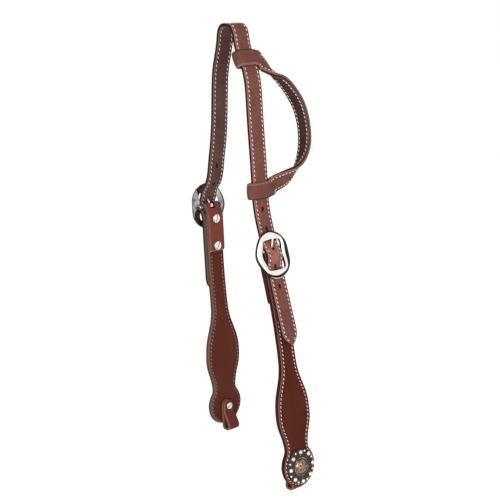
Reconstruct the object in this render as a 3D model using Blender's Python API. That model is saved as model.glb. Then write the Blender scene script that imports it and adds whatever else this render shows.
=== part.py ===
"""Western headstall with one sliding ear piece, hanging from its crown.

Units are metres. +Z is up, +X points to the horse's front and +Y to its left.
The origin is the underside of the crown, where it lies behind the ears.
Straps hang in the plane x = 0, with their widths along X.
"""

import math
from types import SimpleNamespace

import bmesh
import bpy
import numpy as np
from mathutils import Matrix

MM = 0.001

# Clearance between leather plies and other pieces that touch
GAP = 0.3 * MM

# Crown strap: two plies sewn together, pointed at both ends
STRAP_WIDTH = 19.0 * MM
CROWN_PLY = 1.65 * MM
POLL_FLAT = 6.0 * MM
RIGHT_DROP = 213.5 * MM
LEFT_DROP = 176.5 * MM
TAIL_LENGTH = 88.0 * MM
TIP_LENGTH = 13.0 * MM
TIP_SHARES = ((0, 0.16), (0.15, 0.42), (0.4, 0.74), (0.7, 0.93), (1, 1))
TIP_START_SHARE = 0.05
HOLE_PITCH = 19.5 * MM
HOLE_WIDTH = 2.6 * MM
HOLE_LENGTH = 4.6 * MM
STRETCHED_WIDTH = 3.2 * MM
STRETCHED_LENGTH = 7.0 * MM
HOLES_EACH_WAY = 2

# Lean of each side from straight down, in degrees, against its share of the drop
RIGHT_LEAN_SHARES = ((0, 90), (0.03, 40), (0.06, 15), (0.10, 17.5), (0.15, 28), (0.20, 27.5),
                     (0.27, 13), (0.34, 5.5), (0.45, 6), (0.60, 6.5), (0.80, 7), (0.88, 16.5),
                     (0.94, 19.5), (1, 19.2))
LEFT_LEAN_SHARES = ((0, 90), (0.04, 32), (0.08, 8), (0.14, 12.5), (0.22, 14), (0.32, 4.5),
                    (0.45, 1.5), (0.60, 4.5), (0.74, 9.5), (0.84, 9), (0.90, 21), (0.95, 40),
                    (1, 10))

# Buckle: an oval plate, arched so that its two arms stand further out than its sides
BUCKLE_WIDTH = 42.0 * MM
BUCKLE_HEIGHT = 47.0 * MM
WINDOW_WIDTH = 22.5 * MM
WINDOW_HEIGHT = 28.0 * MM
WINDOW_POWER = 8
PLATE_RIM = 1.6 * MM
PLATE_THICKNESS = 3.2 * MM
PLATE_FLAT_SHARES = (0.32, 0.68)
SIDE_BACK = 1.8 * MM
BAR_RADIUS = 1.4 * MM
BOSS_WIDTH = 3.4 * MM
BOSS_INSET = 0.2 * MM
RIGHT_TILT = 19.2
LEFT_TILT = -4.5
RIGHT_ENTRY_LEAN = 0.0
LEFT_ENTRY_LEAN = 14.5
BAR_BULGE = 4.5 * MM
RISE_RUN = 12.5 * MM
FALL_RUN = 12.0 * MM

# Tongue: a ring on the bar and a rod that goes out through the crown's hole
TONGUE_RADIUS = 1.0 * MM
TONGUE_ANGLE = 28.0
TONGUE_BEND = 18.2 * MM
TONGUE_REACH = 21.0 * MM
TONGUE_TIP_DROP = 1.2 * MM
TONGUE_DROP_SHARES = (0, 0, 0.3, 0.85, 1)
TONGUE_TAPER_SHARES = (1, 1, 1, 0.85, 0.45)
RING_WALL = 1.4 * MM
RING_WIDTH = 3.4 * MM

# Cheeks: an outer ply folded round the bar, and a lining under it. The blade's start, its widest
# place and its neck are given as heights over the cheek's lower end
CHEEK_PLY = 2.2 * MM
LINING_PLY = 2.6 * MM
CHEEK_LENGTH = 230.0 * MM
FOLD_LENGTH = 46.6 * MM
FOLD_RUN = 8.0 * MM
LINING_TOP = 9.4 * MM
SLOT_WIDTH = 4.8 * MM
BLADE_RISE = 134.0 * MM
PEAK_RISE = 71.5 * MM
NECK_RISE = 40.0 * MM
BLADE_WIDTH = 41.5 * MM
NECK_WIDTH = 27.5 * MM
DISC_DIAMETER = 40.0 * MM
NECK_ROUNDING = 2.2 * MM
SWELL_SHARES = ((0, 0), (0.25, 0.08), (0.36, 0.20), (0.52, 0.50), (0.68, 0.80), (0.84, 0.96), (1, 1))
WAIST_SHARES = ((0, 1), (0.20, 0.93), (0.38, 0.74), (0.68, 0.31), (1, 0))
RIGHT_CHEEK_LEAN_SHARES = ((0, 19.2), (0.15, 15.8), (0.32, 12.3), (0.52, 9.7), (0.70, 8.6),
                           (0.80, 8.8), (0.86, 8.8), (0.93, 8.8), (1, 8.8))
LEFT_CHEEK_LEAN_SHARES = ((0, -4.5), (0.15, -4), (0.32, -7.5), (0.52, -6.5), (0.70, -2),
                          (0.80, -3.5), (0.86, -3.5), (0.93, -3.5), (1, -3.5))

# Posts and screws that hold the fold
UPPER_POST = 13.4 * MM
LOWER_POST = 41.0 * MM
BARREL_RADIUS = 2.0 * MM
BORE_RADIUS = 1.5 * MM
BORE_DEPTH = 4.6 * MM
SHANK_LENGTH = 4.6 * MM
POST_HEAD_RADIUS = 4.4 * MM
POST_HEAD_THICKNESS = 0.8 * MM
COUNTERBORE_DEPTH = 1.2 * MM
SCREW_HEAD_RADIUS = 4.3 * MM
SCREW_HEAD_THICKNESS = 1.4 * MM
DRIVER_SLOT_WIDTH = 0.9 * MM
DRIVER_SLOT_DEPTH = 0.6 * MM
UPPER_TURN = 80.0
LOWER_TURN = 62.0
CONCHO_TURN = 35.0
DOMED_HEAD_SHARES = ((1, 0), (1, 0.3), (0.88, 0.62), (0.6, 0.88), (0, 1))

# Conchos: a cast disc with a rim of balls, a copper dome and a post at the back
CONCHO_RADIUS = 17.0 * MM
CONCHO_RIM = 1.2 * MM
CONCHO_THICKNESS = 2.2 * MM
DOME_RADIUS = 7.4 * MM
DOME_HEIGHT = 3.4 * MM
DOME_SEAT = 0.8 * MM
BIG_BALL_RADIUS = 2.2 * MM
SMALL_BALL_RADIUS = 1.2 * MM
BALL_PAIRS = 8
CONCHO_SCREW_RADIUS = 3.5 * MM
DOME_SHARES = ((1, 0), (1, 0.15), (0.9, 0.55), (0.62, 0.86), (0.3, 0.98), (0, 1))

# Bit loops: a strip folded into an eye, with both leaves under the concho's screw
LOOP_PLY = 2.0 * MM
LOOP_WIDTH = 14.0 * MM
EYE_WIDTH = 7.0 * MM
EYE_FLAT = 3.0 * MM
LOOP_DROP = 4.5 * MM
LOOP_SPLIT = 5.0 * MM
LOOP_NOSE = 1.2 * MM
LOOP_NOSE_INSET = 0.3 * MM

# Ear piece: an outer ply with a loop at each end round the crown, and a lining in its D
EAR_PLY = 2.0 * MM
EAR_WIDTH = 15.5 * MM
EAR_TOP = 37.0 * MM
EAR_SPAN = 125.5 * MM
EAR_REACH = 66.7 * MM
EAR_SLACK = 1.5 * MM
EAR_REAR_INSET = 0.5 * MM
EAR_LEAF_END = 10.5 * MM
EAR_JOIN = 18.5 * MM
EAR_RETURN = 20.5 * MM
EAR_TWIST = 90.0
EAR_FORWARD_SHARES = (0, 0.09, 0.18, 0.32, 0.44, 0.65, 0.83, 0.93, 0.985, 1, 0.99, 0.935, 0.80,
                      0.67, 0.495, 0.30, 0.18, 0.09, 0)
EAR_DOWN_SHARES = (0, 0, 0.012, 0.058, 0.104, 0.182, 0.292, 0.385, 0.491, 0.58, 0.66, 0.758, 0.858,
                   0.907, 0.941, 0.967, 0.988, 1, 1)
EAR_TWIST_SHARES = ((0, 0), (0.08, 0.02), (0.14, 0.30), (0.22, 0.78), (0.32, 0.96), (0.50, 1),
                    (0.62, 0.98), (0.72, 0.75), (0.82, 0.27), (0.90, 0.03), (1, 0))

# How finely curves are divided
FINE_STEP = 0.5 * MM
MAX_STEP = 14.0 * MM
MAX_TURN = 8.0
ROUND_SIDES = 18
FRAME_SIDES = 44
BALL_SIDES = 8
BALL_STEPS = 6
DOME_SIDES = 24
TONGUE_SIDES = 10
HOLE_END_STEPS = 5
WRAP_SIDES = 20
FOLD_SIDES = 19
FOLD_RISE_STEPS = 13
BLADE_STEPS = 14
NECK_STEPS = 7
EYE_TURN_STEPS = 9
LEAF_STEPS = 19
DISC_ANGLES = (15, 30, 44, 56, 66, 75, 82)
NOSE_ANGLES = (26, 44, 60, 76, 90)
SHARP_ANGLE = 35.0
CUT_OVERRUN = 1.0 * MM

# Sizes that follow from the ones above
CROWN_HALF = CROWN_PLY + GAP / 2
FOLD_RADIUS = BAR_RADIUS + GAP + CHEEK_PLY / 2
CREST = FOLD_RADIUS + CHEEK_PLY / 2 + GAP + CROWN_HALF
ARM_LINE = CREST - BAR_BULGE
ARM_BACK = ARM_LINE + CROWN_HALF + GAP
LEG_OFFSET = CROWN_HALF + GAP + CHEEK_PLY / 2
LINING_OFFSET = CHEEK_PLY / 2 + GAP + LINING_PLY / 2
FOLD_OFFSET = CHEEK_PLY + 2 * GAP + LINING_PLY
LINING_FACE = LINING_OFFSET + LINING_PLY / 2
FOLD_FACE = FOLD_OFFSET + CHEEK_PLY / 2
FRONT_LEAF = LINING_FACE + GAP + LOOP_PLY / 2
REAR_LEAF = FRONT_LEAF + GAP + LOOP_PLY
LOOP_FACE = REAR_LEAF + LOOP_PLY / 2
DISC_RADIUS = DISC_DIAMETER / 2
DISC_CENTRE = CHEEK_LENGTH - DISC_RADIUS
BLADE_START = CHEEK_LENGTH - BLADE_RISE
BLADE_PEAK = CHEEK_LENGTH - PEAK_RISE
NECK = CHEEK_LENGTH - NECK_RISE
HOLE_RADIUS = BARREL_RADIUS + GAP
SHANK_RADIUS = BORE_RADIUS - GAP
EAR_LEAF = CROWN_HALF + EAR_SLACK + EAR_PLY / 2
EAR_SEWN = (EAR_PLY + GAP) / 2
EAR_REAR = STRAP_WIDTH / 2 - EAR_REAR_INSET

# Looks as (colour, roughness, metallic)
RUSSET = ((0.20, 0.062, 0.038), 0.50, 0.0)
TAN = ((0.27, 0.085, 0.040), 0.48, 0.0)
DARK = ((0.105, 0.040, 0.034), 0.62, 0.0)
POLISHED = ((0.86, 0.86, 0.85), 0.12, 1.0)
NICKEL = ((0.80, 0.79, 0.75), 0.22, 1.0)
ANTIQUE = ((0.30, 0.28, 0.25), 0.38, 1.0)
COPPER = ((0.62, 0.35, 0.24), 0.34, 1.0)


def clear_scene():
    for thing in list(bpy.data.objects):
        bpy.data.objects.remove(thing, do_unlink=True)


def material(name, look):
    colour, roughness, metallic = look
    made = bpy.data.materials.new(name)
    made.use_nodes = True
    shader = made.node_tree.nodes["Principled BSDF"]
    shader.inputs["Base Color"].default_value = (*colour, 1.0)
    shader.inputs["Roughness"].default_value = roughness
    shader.inputs["Metallic"].default_value = metallic
    return made


def add_object(name, bm, look, origin=(0, 0, 0)):
    """Turns a bmesh in world coordinates into an object whose origin is the given point."""
    bmesh.ops.translate(bm, verts=bm.verts, vec=[-value for value in origin])
    bmesh.ops.recalc_face_normals(bm, faces=bm.faces)
    mesh = bpy.data.meshes.new(name)
    bm.to_mesh(mesh)
    bm.free()
    mesh.shade_smooth()
    mesh.set_sharp_from_angle(angle=math.radians(SHARP_ANGLE))
    mesh.materials.append(material(name, look))
    made = bpy.data.objects.new(name, mesh)
    made.location = origin
    bpy.context.scene.collection.objects.link(made)
    return made


def add_tool(name, shapes):
    """A hidden object of closed shapes that only cuts or joins."""
    made = add_object(name, merged(shapes), NICKEL)
    made.hide_render = True
    made.display_type = "WIRE"
    return made


def combine(target, tool, operation):
    step = target.modifiers.new(tool.name, "BOOLEAN")
    step.operation = operation
    step.solver = "EXACT"
    step.object = tool


def merged(shapes):
    whole = bmesh.new()
    for shape in shapes:
        bmesh.ops.recalc_face_normals(shape, faces=shape.faces)
        mesh = bpy.data.meshes.new("shape")
        shape.to_mesh(mesh)
        shape.free()
        whole.from_mesh(mesh)
        bpy.data.meshes.remove(mesh)
    return whole


def blend(t, start, end, start_slope=0.0, end_slope=0.0):
    """Cubic from start to end as t goes from 0 to 1, with the given slopes per unit of t."""
    return ((2 * t**3 - 3 * t**2 + 1) * start + (t**3 - 2 * t**2 + t) * start_slope
            + (3 * t**2 - 2 * t**3) * end + (t**3 - t**2) * end_slope)


def through(table, at):
    """Reads a smooth curve through a table of (place, value) pairs at the given places."""
    places, values = np.array(table, dtype=float).T
    slopes = np.gradient(values, places)
    index = np.clip(np.searchsorted(places, at) - 1, 0, len(places) - 2)
    span = places[index + 1] - places[index]
    t = (at - places[index]) / span
    return blend(t, values[index], values[index + 1], slopes[index] * span, slopes[index + 1] * span)


def unit(vectors):
    return vectors / np.linalg.norm(vectors, axis=-1, keepdims=True)


def lengths(points):
    """Distance of each point of a path from its start."""
    steps = np.linalg.norm(np.diff(points, axis=0), axis=1)
    return np.concatenate([[0.0], np.cumsum(steps)])


def read_path(points, places):
    along = lengths(points)
    return np.stack([np.interp(places, along, column) for column in points.T], axis=1)


def left_normals(points):
    """Normals to the left of a path in the Y-Z plane, stretched at corners so that plies stay parallel."""
    steps = unit(np.diff(points, axis=0))
    sides = np.stack([-steps[:, 1], steps[:, 0]], axis=1)
    before = np.vstack([sides[:1], sides])
    after = np.vstack([sides, sides[-1:]])
    middle = unit(before + after)
    return middle / np.sum(middle * after, axis=1, keepdims=True)


def march(start, lean_shares, length, sign):
    """Walks down from a point, its lean from straight down following a table over the length."""
    count = int(round(length / FINE_STEP))
    lean = np.radians(through(lean_shares, (np.arange(count) + 0.5) / count))
    moves = np.stack([sign * np.sin(lean), -np.cos(lean)], axis=1) * length / count
    return np.array(start) + np.vstack([[0.0, 0.0], np.cumsum(moves, axis=0)])


def stations(points, wanted=()):
    """Distances along a fine path where a strap needs a section: after each turn or long run."""
    along = lengths(points)
    steps = unit(np.diff(points, axis=0))
    bends = np.degrees(np.arccos(np.clip(np.sum(steps[1:] * steps[:-1], axis=1), -1, 1)))
    firm = np.unique(np.clip([along[0], along[-1], *wanted], along[0], along[-1]))
    loose = []
    turn = 0.0
    last = 0.0
    for place, bend in zip(along[1:], bends):
        turn += bend
        if turn >= MAX_TURN or place - last >= MAX_STEP:
            loose.append(place)
            turn = 0.0
            last = place
    clear = [place for place in loose if np.min(np.abs(firm - place)) > FINE_STEP]
    return np.unique([*firm, *clear])


def band(centres, across, normals, half_widths, low, high):
    """A closed strap with four corners at each station: centre + across * half width + normal * height.

    Both wide faces are split along the same diagonals, so that twisted plies stay parallel.
    """
    half = np.broadcast_to(half_widths, len(centres))[:, None]
    corners = [centres - across * half + normals * low, centres + across * half + normals * low,
               centres + across * half + normals * high, centres - across * half + normals * high]
    bm = bmesh.new()
    rings = [[bm.verts.new(corner[i]) for corner in corners] for i in range(len(centres))]
    for (a, b, c, d), (e, f, g, h) in zip(rings, rings[1:]):
        for face in ((a, b, e), (b, f, e), (b, c, g, f), (c, d, h), (c, h, g), (d, a, e, h)):
            bm.faces.new(face)
    bm.faces.new(rings[0][::-1])
    bm.faces.new(rings[-1])
    return bm


def flat_band(points, places, half_widths, low, high):
    """A strap along a fine path in the Y-Z plane, its width along X, heights to the path's left."""
    middle = read_path(points, places)
    zeros = np.zeros(len(places))
    centres = np.column_stack([zeros, middle])
    normals = np.column_stack([zeros, left_normals(middle)])
    across = np.tile([1.0, 0.0, 0.0], (len(places), 1))
    return band(centres, across, normals, half_widths, low, high)


def lathe(profile, sides=ROUND_SIDES):
    """Turns (radius, height) points round Z: from axis to axis, or a loop whose last point is its first."""
    angles = 2 * np.pi * np.arange(sides) / sides
    bm = bmesh.new()
    rings = []
    for radius, height in profile:
        if radius == 0:
            rings.append([bm.verts.new((0, 0, height))])
        else:
            rings.append([bm.verts.new((radius * math.cos(a), radius * math.sin(a), height)) for a in angles])
    if profile[0] == profile[-1]:
        bmesh.ops.delete(bm, geom=rings[-1], context="VERTS")
        rings[-1] = rings[0]
    for first, second in zip(rings, rings[1:]):
        for i in range(sides):
            j = (i + 1) % sides
            corners = (first[i % len(first)], first[j % len(first)],
                       second[j % len(second)], second[i % len(second)])
            bm.faces.new(dict.fromkeys(corners))
    bmesh.ops.recalc_face_normals(bm, faces=bm.faces)
    return bm


def ball(radius, centre):
    turns = [math.pi * i / BALL_STEPS for i in range(BALL_STEPS + 1)]
    profile = [(radius * math.sin(a), -radius * math.cos(a)) for a in turns]
    profile[0] = (0, -radius)
    profile[-1] = (0, radius)
    bm = lathe(profile, BALL_SIDES)
    bmesh.ops.translate(bm, verts=bm.verts, vec=centre)
    return bm


def placed(bm, origin, axis, across=(1, 0, 0)):
    """Moves a shape so that its Z lies along axis, its X along across and its origin at a point."""
    third = np.cross(axis, across)
    matrix = Matrix(np.column_stack([across, third, axis]).tolist()).to_4x4()
    matrix.translation = origin
    bmesh.ops.transform(bm, matrix=matrix, verts=bm.verts)
    return bm


def cylinder(radius, bottom, top):
    return lathe([(0, bottom), (radius, bottom), (radius, top), (0, top)])


def block(low, high):
    """A box between two corners."""
    bm = bmesh.new()
    bmesh.ops.create_cube(bm, size=1)
    bmesh.ops.scale(bm, vec=[b - a for a, b in zip(low, high)], verts=bm.verts)
    bmesh.ops.translate(bm, vec=[(a + b) / 2 for a, b in zip(low, high)], verts=bm.verts)
    return bm


def long_hole(width, length, half_depth):
    """A cutter with round ends, its length along Y and its depth along Z."""
    radius = width / 2
    reach = length / 2 - radius
    turns = [math.pi * i / HOLE_END_STEPS for i in range(HOLE_END_STEPS + 1)]
    outline = [(radius * math.cos(a), reach + radius * math.sin(a)) for a in turns]
    outline += [(-x, -y) for x, y in outline]
    bm = bmesh.new()
    low = [bm.verts.new((x, y, -half_depth)) for x, y in outline]
    high = [bm.verts.new((x, y, half_depth)) for x, y in outline]
    bm.faces.new(low[::-1])
    bm.faces.new(high)
    for i in range(len(outline)):
        j = (i + 1) % len(outline)
        bm.faces.new((low[i], low[j], high[j], high[i]))
    return bm


def deep(point):
    """A (y, z) pair as a point or direction in space."""
    return (0.0, float(point[0]), float(point[1]))


def in_buckle(side, along, out):
    """World (y, z) of places given along the buckle and out from its bar."""
    return side.bar + np.outer(along, side.up) + np.outer(out, side.out)


def to_buckle(bm, side):
    """Moves a shape from the buckle's own (x, along, out) into the world."""
    for vert in bm.verts:
        x, along, out = vert.co
        vert.co = (x, *in_buckle(side, [along], [out])[0])
    return bm


def crown_line(along, entry_lean):
    """Distance out from the bar to the crown's middle, under the arms and over the bar."""
    slope = math.tan(math.radians(entry_lean)) * RISE_RUN
    above = blend(np.clip(along / RISE_RUN, 0, 1), CREST, ARM_LINE, 0, -slope)
    below = blend(np.clip(-along / FALL_RUN, 0, 1), CREST, ARM_LINE)
    return np.where(np.asarray(along) > 0, above, below)


def make_side(name, sign, drop, leans, tilt, entry_lean, cheek_leans):
    """Lays out one side: the crown's path, the buckle's axes and the outer cheek ply's path."""
    angle = math.radians(tilt)
    side = SimpleNamespace(name=name, sign=sign)
    side.up = np.array([-sign * math.sin(angle), math.cos(angle)])
    side.out = np.array([sign * math.cos(angle), math.sin(angle)])
    free = march((sign * POLL_FLAT / 2, CROWN_HALF), leans, drop, sign)
    side.bar = free[-1] - side.up * RISE_RUN - side.out * ARM_LINE
    run = np.arange(RISE_RUN - FINE_STEP, -TAIL_LENGTH, -FINE_STEP)
    passage = in_buckle(side, run, crown_line(run, entry_lean))
    side.crown = np.vstack([free, passage])
    leg = passage[(run <= FINE_STEP / 2) & (run > -FALL_RUN - 2 * FINE_STEP)]
    leg = leg - sign * left_normals(leg) * LEG_OFFSET
    hang = march(leg[-1], cheek_leans, CHEEK_LENGTH - lengths(leg)[-1], sign)
    side.cheek = np.vstack([leg, hang[1:]])
    return side


def local_axes(points, place, sign):
    """Point of a downward path at a distance, with its outward and downward directions."""
    near = read_path(points, [place - FINE_STEP, place, place + FINE_STEP])
    down = unit(near[2] - near[0])
    outward = sign * np.array([-down[1], down[0]])
    return near[1], outward, down


def tongue_crossing(side):
    """Distance down the crown at which the tongue's line passes through it."""
    local = side.crown - side.bar
    up = local @ side.up
    miss = local @ side.out - up * math.tan(math.radians(TONGUE_ANGLE))
    near = (up > 0) & (up < RISE_RUN)
    return np.interp(0, miss[near], lengths(side.crown)[near])


def crown_holes(sides):
    """Cutters for the crown's holes; the middle one on each side is stretched by the tongue."""
    cutters = []
    for side in sides:
        for step in range(-HOLES_EACH_WAY, HOLES_EACH_WAY + 1):
            place = tongue_crossing(side) + step * HOLE_PITCH
            point, outward, _ = local_axes(side.crown, place, side.sign)
            width, length = (HOLE_WIDTH, HOLE_LENGTH) if step else (STRETCHED_WIDTH, STRETCHED_LENGTH)
            cutter = long_hole(width, length, CROWN_HALF + CUT_OVERRUN)
            cutters.append(placed(cutter, deep(point), deep(outward)))
    return add_tool("crown_hole_cutters", cutters)


def make_crown(right, left):
    path = np.vstack([right.crown[::-1], left.crown])
    along = lengths(path)
    poll = along[[len(right.crown) - 1, len(right.crown)]]
    ends = np.array([TIP_START_SHARE, *[share for share, _ in TIP_SHARES[1:]]]) * TIP_LENGTH
    places = stations(path, [*poll, *ends, *(along[-1] - ends)])
    from_tip = np.minimum(places, along[-1] - places)
    half_widths = STRAP_WIDTH / 2 * through(TIP_SHARES, np.clip(from_tip / TIP_LENGTH, 0, 1))
    holes = crown_holes([right, left])
    outer = flat_band(path, places, half_widths, GAP / 2, CROWN_HALF)
    inner = flat_band(path, places, half_widths, -CROWN_HALF, -GAP / 2)
    combine(add_object("crown_strap", outer, RUSSET), holes, "DIFFERENCE")
    combine(add_object("crown_lining", inner, DARK), holes, "DIFFERENCE")


def plate_back(along):
    """Height of the plate's back: low beside the bar, high at the arms."""
    share = np.minimum(np.abs(along) / (WINDOW_HEIGHT / 2), 1)
    return SIDE_BACK + (ARM_BACK - SIDE_BACK) * (1 - np.cos(np.pi * share)) / 2


def buckle_plate():
    """An oval ring round a window with rounded corners, thickest in the middle of its rim."""
    angles = 2 * np.pi * np.arange(FRAME_SIDES) / FRAME_SIDES
    outer = np.column_stack([BUCKLE_WIDTH / 2 * np.cos(angles), BUCKLE_HEIGHT / 2 * np.sin(angles)])
    rays = unit(outer)
    half_window = np.array([WINDOW_WIDTH, WINDOW_HEIGHT]) / 2
    reach = np.sum(np.abs(rays / half_window) ** WINDOW_POWER, axis=1) ** (-1 / WINDOW_POWER)
    inner = rays * reach[:, None]
    crest = [(share, PLATE_THICKNESS) for share in PLATE_FLAT_SHARES]
    section = [(0, 0), (0, PLATE_RIM), *crest, (1, PLATE_RIM), (1, 0)]
    bm = bmesh.new()
    rings = []
    for share, height in section:
        flat = inner + (outer - inner) * share
        rings.append([bm.verts.new((x, y, plate_back(y) + height)) for x, y in flat])
    for first, second in zip(rings, rings[1:] + rings[:1]):
        for i in range(FRAME_SIDES):
            j = (i + 1) % FRAME_SIDES
            bm.faces.new((first[i], first[j], second[j], second[i]))
    return bm


def make_buckle(side):
    """The plate, and the bar with a round boss at each end that reaches into the plate's sides."""
    inside = WINDOW_WIDTH / 2 + BOSS_INSET
    half = inside + BOSS_WIDTH
    boss = SIDE_BACK + PLATE_RIM / 2
    outline = [(0, -half), (boss, -half), (boss, -inside), (BAR_RADIUS, -inside), (BAR_RADIUS, inside),
               (boss, inside), (boss, half), (0, half)]
    bar = placed(lathe(outline), (0, 0, 0), (1, 0, 0), (0, 1, 0))
    frame = add_object(f"{side.name}_buckle_frame", to_buckle(buckle_plate(), side), POLISHED, deep(side.bar))
    combine(frame, add_tool(f"{side.name}_buckle_bar_tool", [to_buckle(bar, side)]), "UNION")


def tongue_rod():
    """A round rod from the ring's wall, straight out through the hole, bent over the arm at its tip."""
    angle = math.radians(TONGUE_ANGLE)
    ray = np.array([math.cos(angle), math.sin(angle)])
    lift = np.array([-ray[1], ray[0]])
    root = BAR_RADIUS + GAP + RING_WALL / 2
    reaches = [root, TONGUE_BEND, (TONGUE_BEND + TONGUE_REACH) / 2, TONGUE_REACH - TONGUE_RADIUS / 2,
               TONGUE_REACH]
    middles = np.outer(reaches, ray) - np.outer(TONGUE_DROP_SHARES, lift) * TONGUE_TIP_DROP
    directions = unit(np.gradient(middles, axis=0))
    angles = 2 * np.pi * np.arange(TONGUE_SIDES) / TONGUE_SIDES
    bm = bmesh.new()
    rings = []
    for size, middle, direction in zip(TONGUE_TAPER_SHARES, middles, directions):
        side_way = np.array([-direction[1], direction[0]])
        radius = TONGUE_RADIUS * size
        rings.append([bm.verts.new((radius * math.cos(a), *(middle + side_way * radius * math.sin(a))))
                      for a in angles])
    for first, second in zip(rings, rings[1:]):
        for i in range(len(angles)):
            j = (i + 1) % len(angles)
            bm.faces.new((first[i], first[j], second[j], second[i]))
    bm.faces.new(rings[0][::-1])
    bm.faces.new(rings[-1])
    return bm


def make_tongue(side):
    inner = BAR_RADIUS + GAP
    half = RING_WIDTH / 2
    outline = [(inner, -half), (inner + RING_WALL, -half), (inner + RING_WALL, half), (inner, half),
               (inner, -half)]
    ring = placed(lathe(outline), (0, 0, 0), (1, 0, 0), (0, 1, 0))
    tongue = add_object(f"{side.name}_buckle_tongue", to_buckle(ring, side), POLISHED, deep(side.bar))
    rod = add_tool(f"{side.name}_tongue_rod_tool", [to_buckle(tongue_rod(), side)])
    combine(tongue, rod, "UNION")


def cheek_half_width(places):
    """Strap, blade and disc: the blade swells from the strap, narrows to the neck, and meets the disc."""
    places = np.asarray(places)
    swell = through(SWELL_SHARES, np.clip((places - BLADE_START) / (BLADE_PEAK - BLADE_START), 0, 1))
    waist = through(WAIST_SHARES, np.clip((places - BLADE_PEAK) / (NECK - BLADE_PEAK), 0, 1))
    upper = STRAP_WIDTH + (BLADE_WIDTH - STRAP_WIDTH) * swell
    lower = NECK_WIDTH + (BLADE_WIDTH - NECK_WIDTH) * waist
    blade = np.where(places < BLADE_PEAK, upper, lower) / 2
    disc = np.sqrt(np.maximum(DISC_RADIUS**2 - (places - DISC_CENTRE) ** 2, 0))
    rounded = (blade + disc + np.sqrt((blade - disc) ** 2 + NECK_ROUNDING**2)) / 2
    smooth = np.where(places < NECK - NECK_ROUNDING, blade, rounded)
    return np.where(places < DISC_CENTRE, smooth, disc)


def cheek_places(points, start):
    """Stations down the cheek's outline, close together where its edge curves."""
    blade = np.linspace(BLADE_START, NECK, BLADE_STEPS + 1)
    neck = np.linspace(NECK, DISC_CENTRE, NECK_STEPS + 1)
    disc = DISC_CENTRE + DISC_RADIUS * np.sin(np.radians(DISC_ANGLES))
    length = lengths(points)[-1]
    places = stations(points[lengths(points) < BLADE_START - start])
    return np.concatenate([places[:-1], [*(blade - start), *(neck[1:] - start), *(disc - start)]]).clip(0, length)


def fold_cutters(side):
    """Everything that is cut through a cheek's plies: tongue slot, post holes and counterbores."""
    width = SLOT_WIDTH / 2
    radius = FOLD_RADIUS + CHEEK_PLY
    slot = placed(cylinder(radius, -width, width), deep(side.bar), (1, 0, 0), (0, 1, 0))
    cutters = [slot]
    floor = CHEEK_PLY / 2 - COUNTERBORE_DEPTH
    for place in (UPPER_POST, LOWER_POST):
        point, outward, _ = local_axes(side.cheek, place, side.sign)
        wide = POST_HEAD_RADIUS + GAP
        stepped = lathe([(0, -FOLD_FACE - CUT_OVERRUN), (HOLE_RADIUS, -FOLD_FACE - CUT_OVERRUN),
                         (HOLE_RADIUS, floor), (wide, floor), (wide, CHEEK_PLY / 2 + CUT_OVERRUN),
                         (0, CHEEK_PLY / 2 + CUT_OVERRUN)])
        cutters.append(placed(stepped, deep(point), deep(outward)))
    point, outward, _ = local_axes(side.cheek, DISC_CENTRE, side.sign)
    hole = cylinder(HOLE_RADIUS, -LOOP_FACE - CUT_OVERRUN, CHEEK_PLY / 2 + CUT_OVERRUN)
    cutters.append(placed(hole, deep(point), deep(outward)))
    return add_tool(f"{side.name}_cheek_cutters", cutters)


def make_cheek(side):
    """Outer ply from the fold's end up, round the bar and down; then the lining."""
    outward = side.sign * left_normals(side.cheek)
    along = lengths(side.cheek)
    start = np.argmax(in_buckle_along(side, side.cheek) <= -FOLD_RUN)
    inner = (side.cheek - outward * FOLD_OFFSET)[start:][along[start:] <= FOLD_LENGTH][::-1]
    top = inner[-1] - side.bar
    top_along, top_out = top @ side.up, top @ side.out
    t = np.linspace(0, 1, FOLD_RISE_STEPS + 1)[1:]
    rise = in_buckle(side, top_along * (1 - t), blend(t, top_out, -FOLD_RADIUS))
    turns = np.linspace(-np.pi / 2, np.pi / 2, FOLD_SIDES + 1)[1:-1]
    wrap = in_buckle(side, FOLD_RADIUS * np.cos(turns), FOLD_RADIUS * np.sin(turns))
    behind = np.vstack([inner, rise, wrap])
    fold = lengths(np.vstack([behind, side.cheek[:1]]))[-1]
    path = np.vstack([behind, side.cheek])
    upper = stations(path[lengths(path) <= fold + BLADE_START])
    lower = cheek_places(side.cheek, 0.0)
    places = np.concatenate([upper[:-1], fold + lower[lower >= BLADE_START]])
    half_widths = np.where(places < fold, STRAP_WIDTH / 2, cheek_half_width(places - fold))
    cutters = fold_cutters(side)
    half = CHEEK_PLY / 2
    outer = flat_band(path, places, half_widths, -half, half)
    combine(add_object(f"{side.name}_cheek_strap", outer, RUSSET, deep(side.bar)), cutters, "DIFFERENCE")
    hidden = (side.cheek - outward * LINING_OFFSET)[along >= LINING_TOP]
    lining_places = cheek_places(hidden, LINING_TOP)
    lining_widths = cheek_half_width(lining_places + LINING_TOP)
    half = LINING_PLY / 2
    inner = flat_band(hidden, lining_places, lining_widths, -half, half)
    combine(add_object(f"{side.name}_cheek_lining", inner, DARK, deep(side.bar)), cutters, "DIFFERENCE")


def in_buckle_along(side, points):
    return (points - side.bar) @ side.up


def post_shape(head, top, underside, end):
    """A head on a hollow barrel: heights above the outer cheek ply's middle."""
    return lathe([(0, end + BORE_DEPTH), (BORE_RADIUS, end + BORE_DEPTH), (BORE_RADIUS, end),
                  (BARREL_RADIUS, end), (BARREL_RADIUS, underside), (head, underside), (head, top), (0, top)])


def screw_shape(radius):
    """A domed head whose underside is at height 0, on a shank that points down."""
    head = [(radius * across, SCREW_HEAD_THICKNESS * up) for across, up in DOMED_HEAD_SHARES]
    return lathe([(0, -SHANK_LENGTH), (SHANK_RADIUS, -SHANK_LENGTH), (SHANK_RADIUS, 0), *head])


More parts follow.
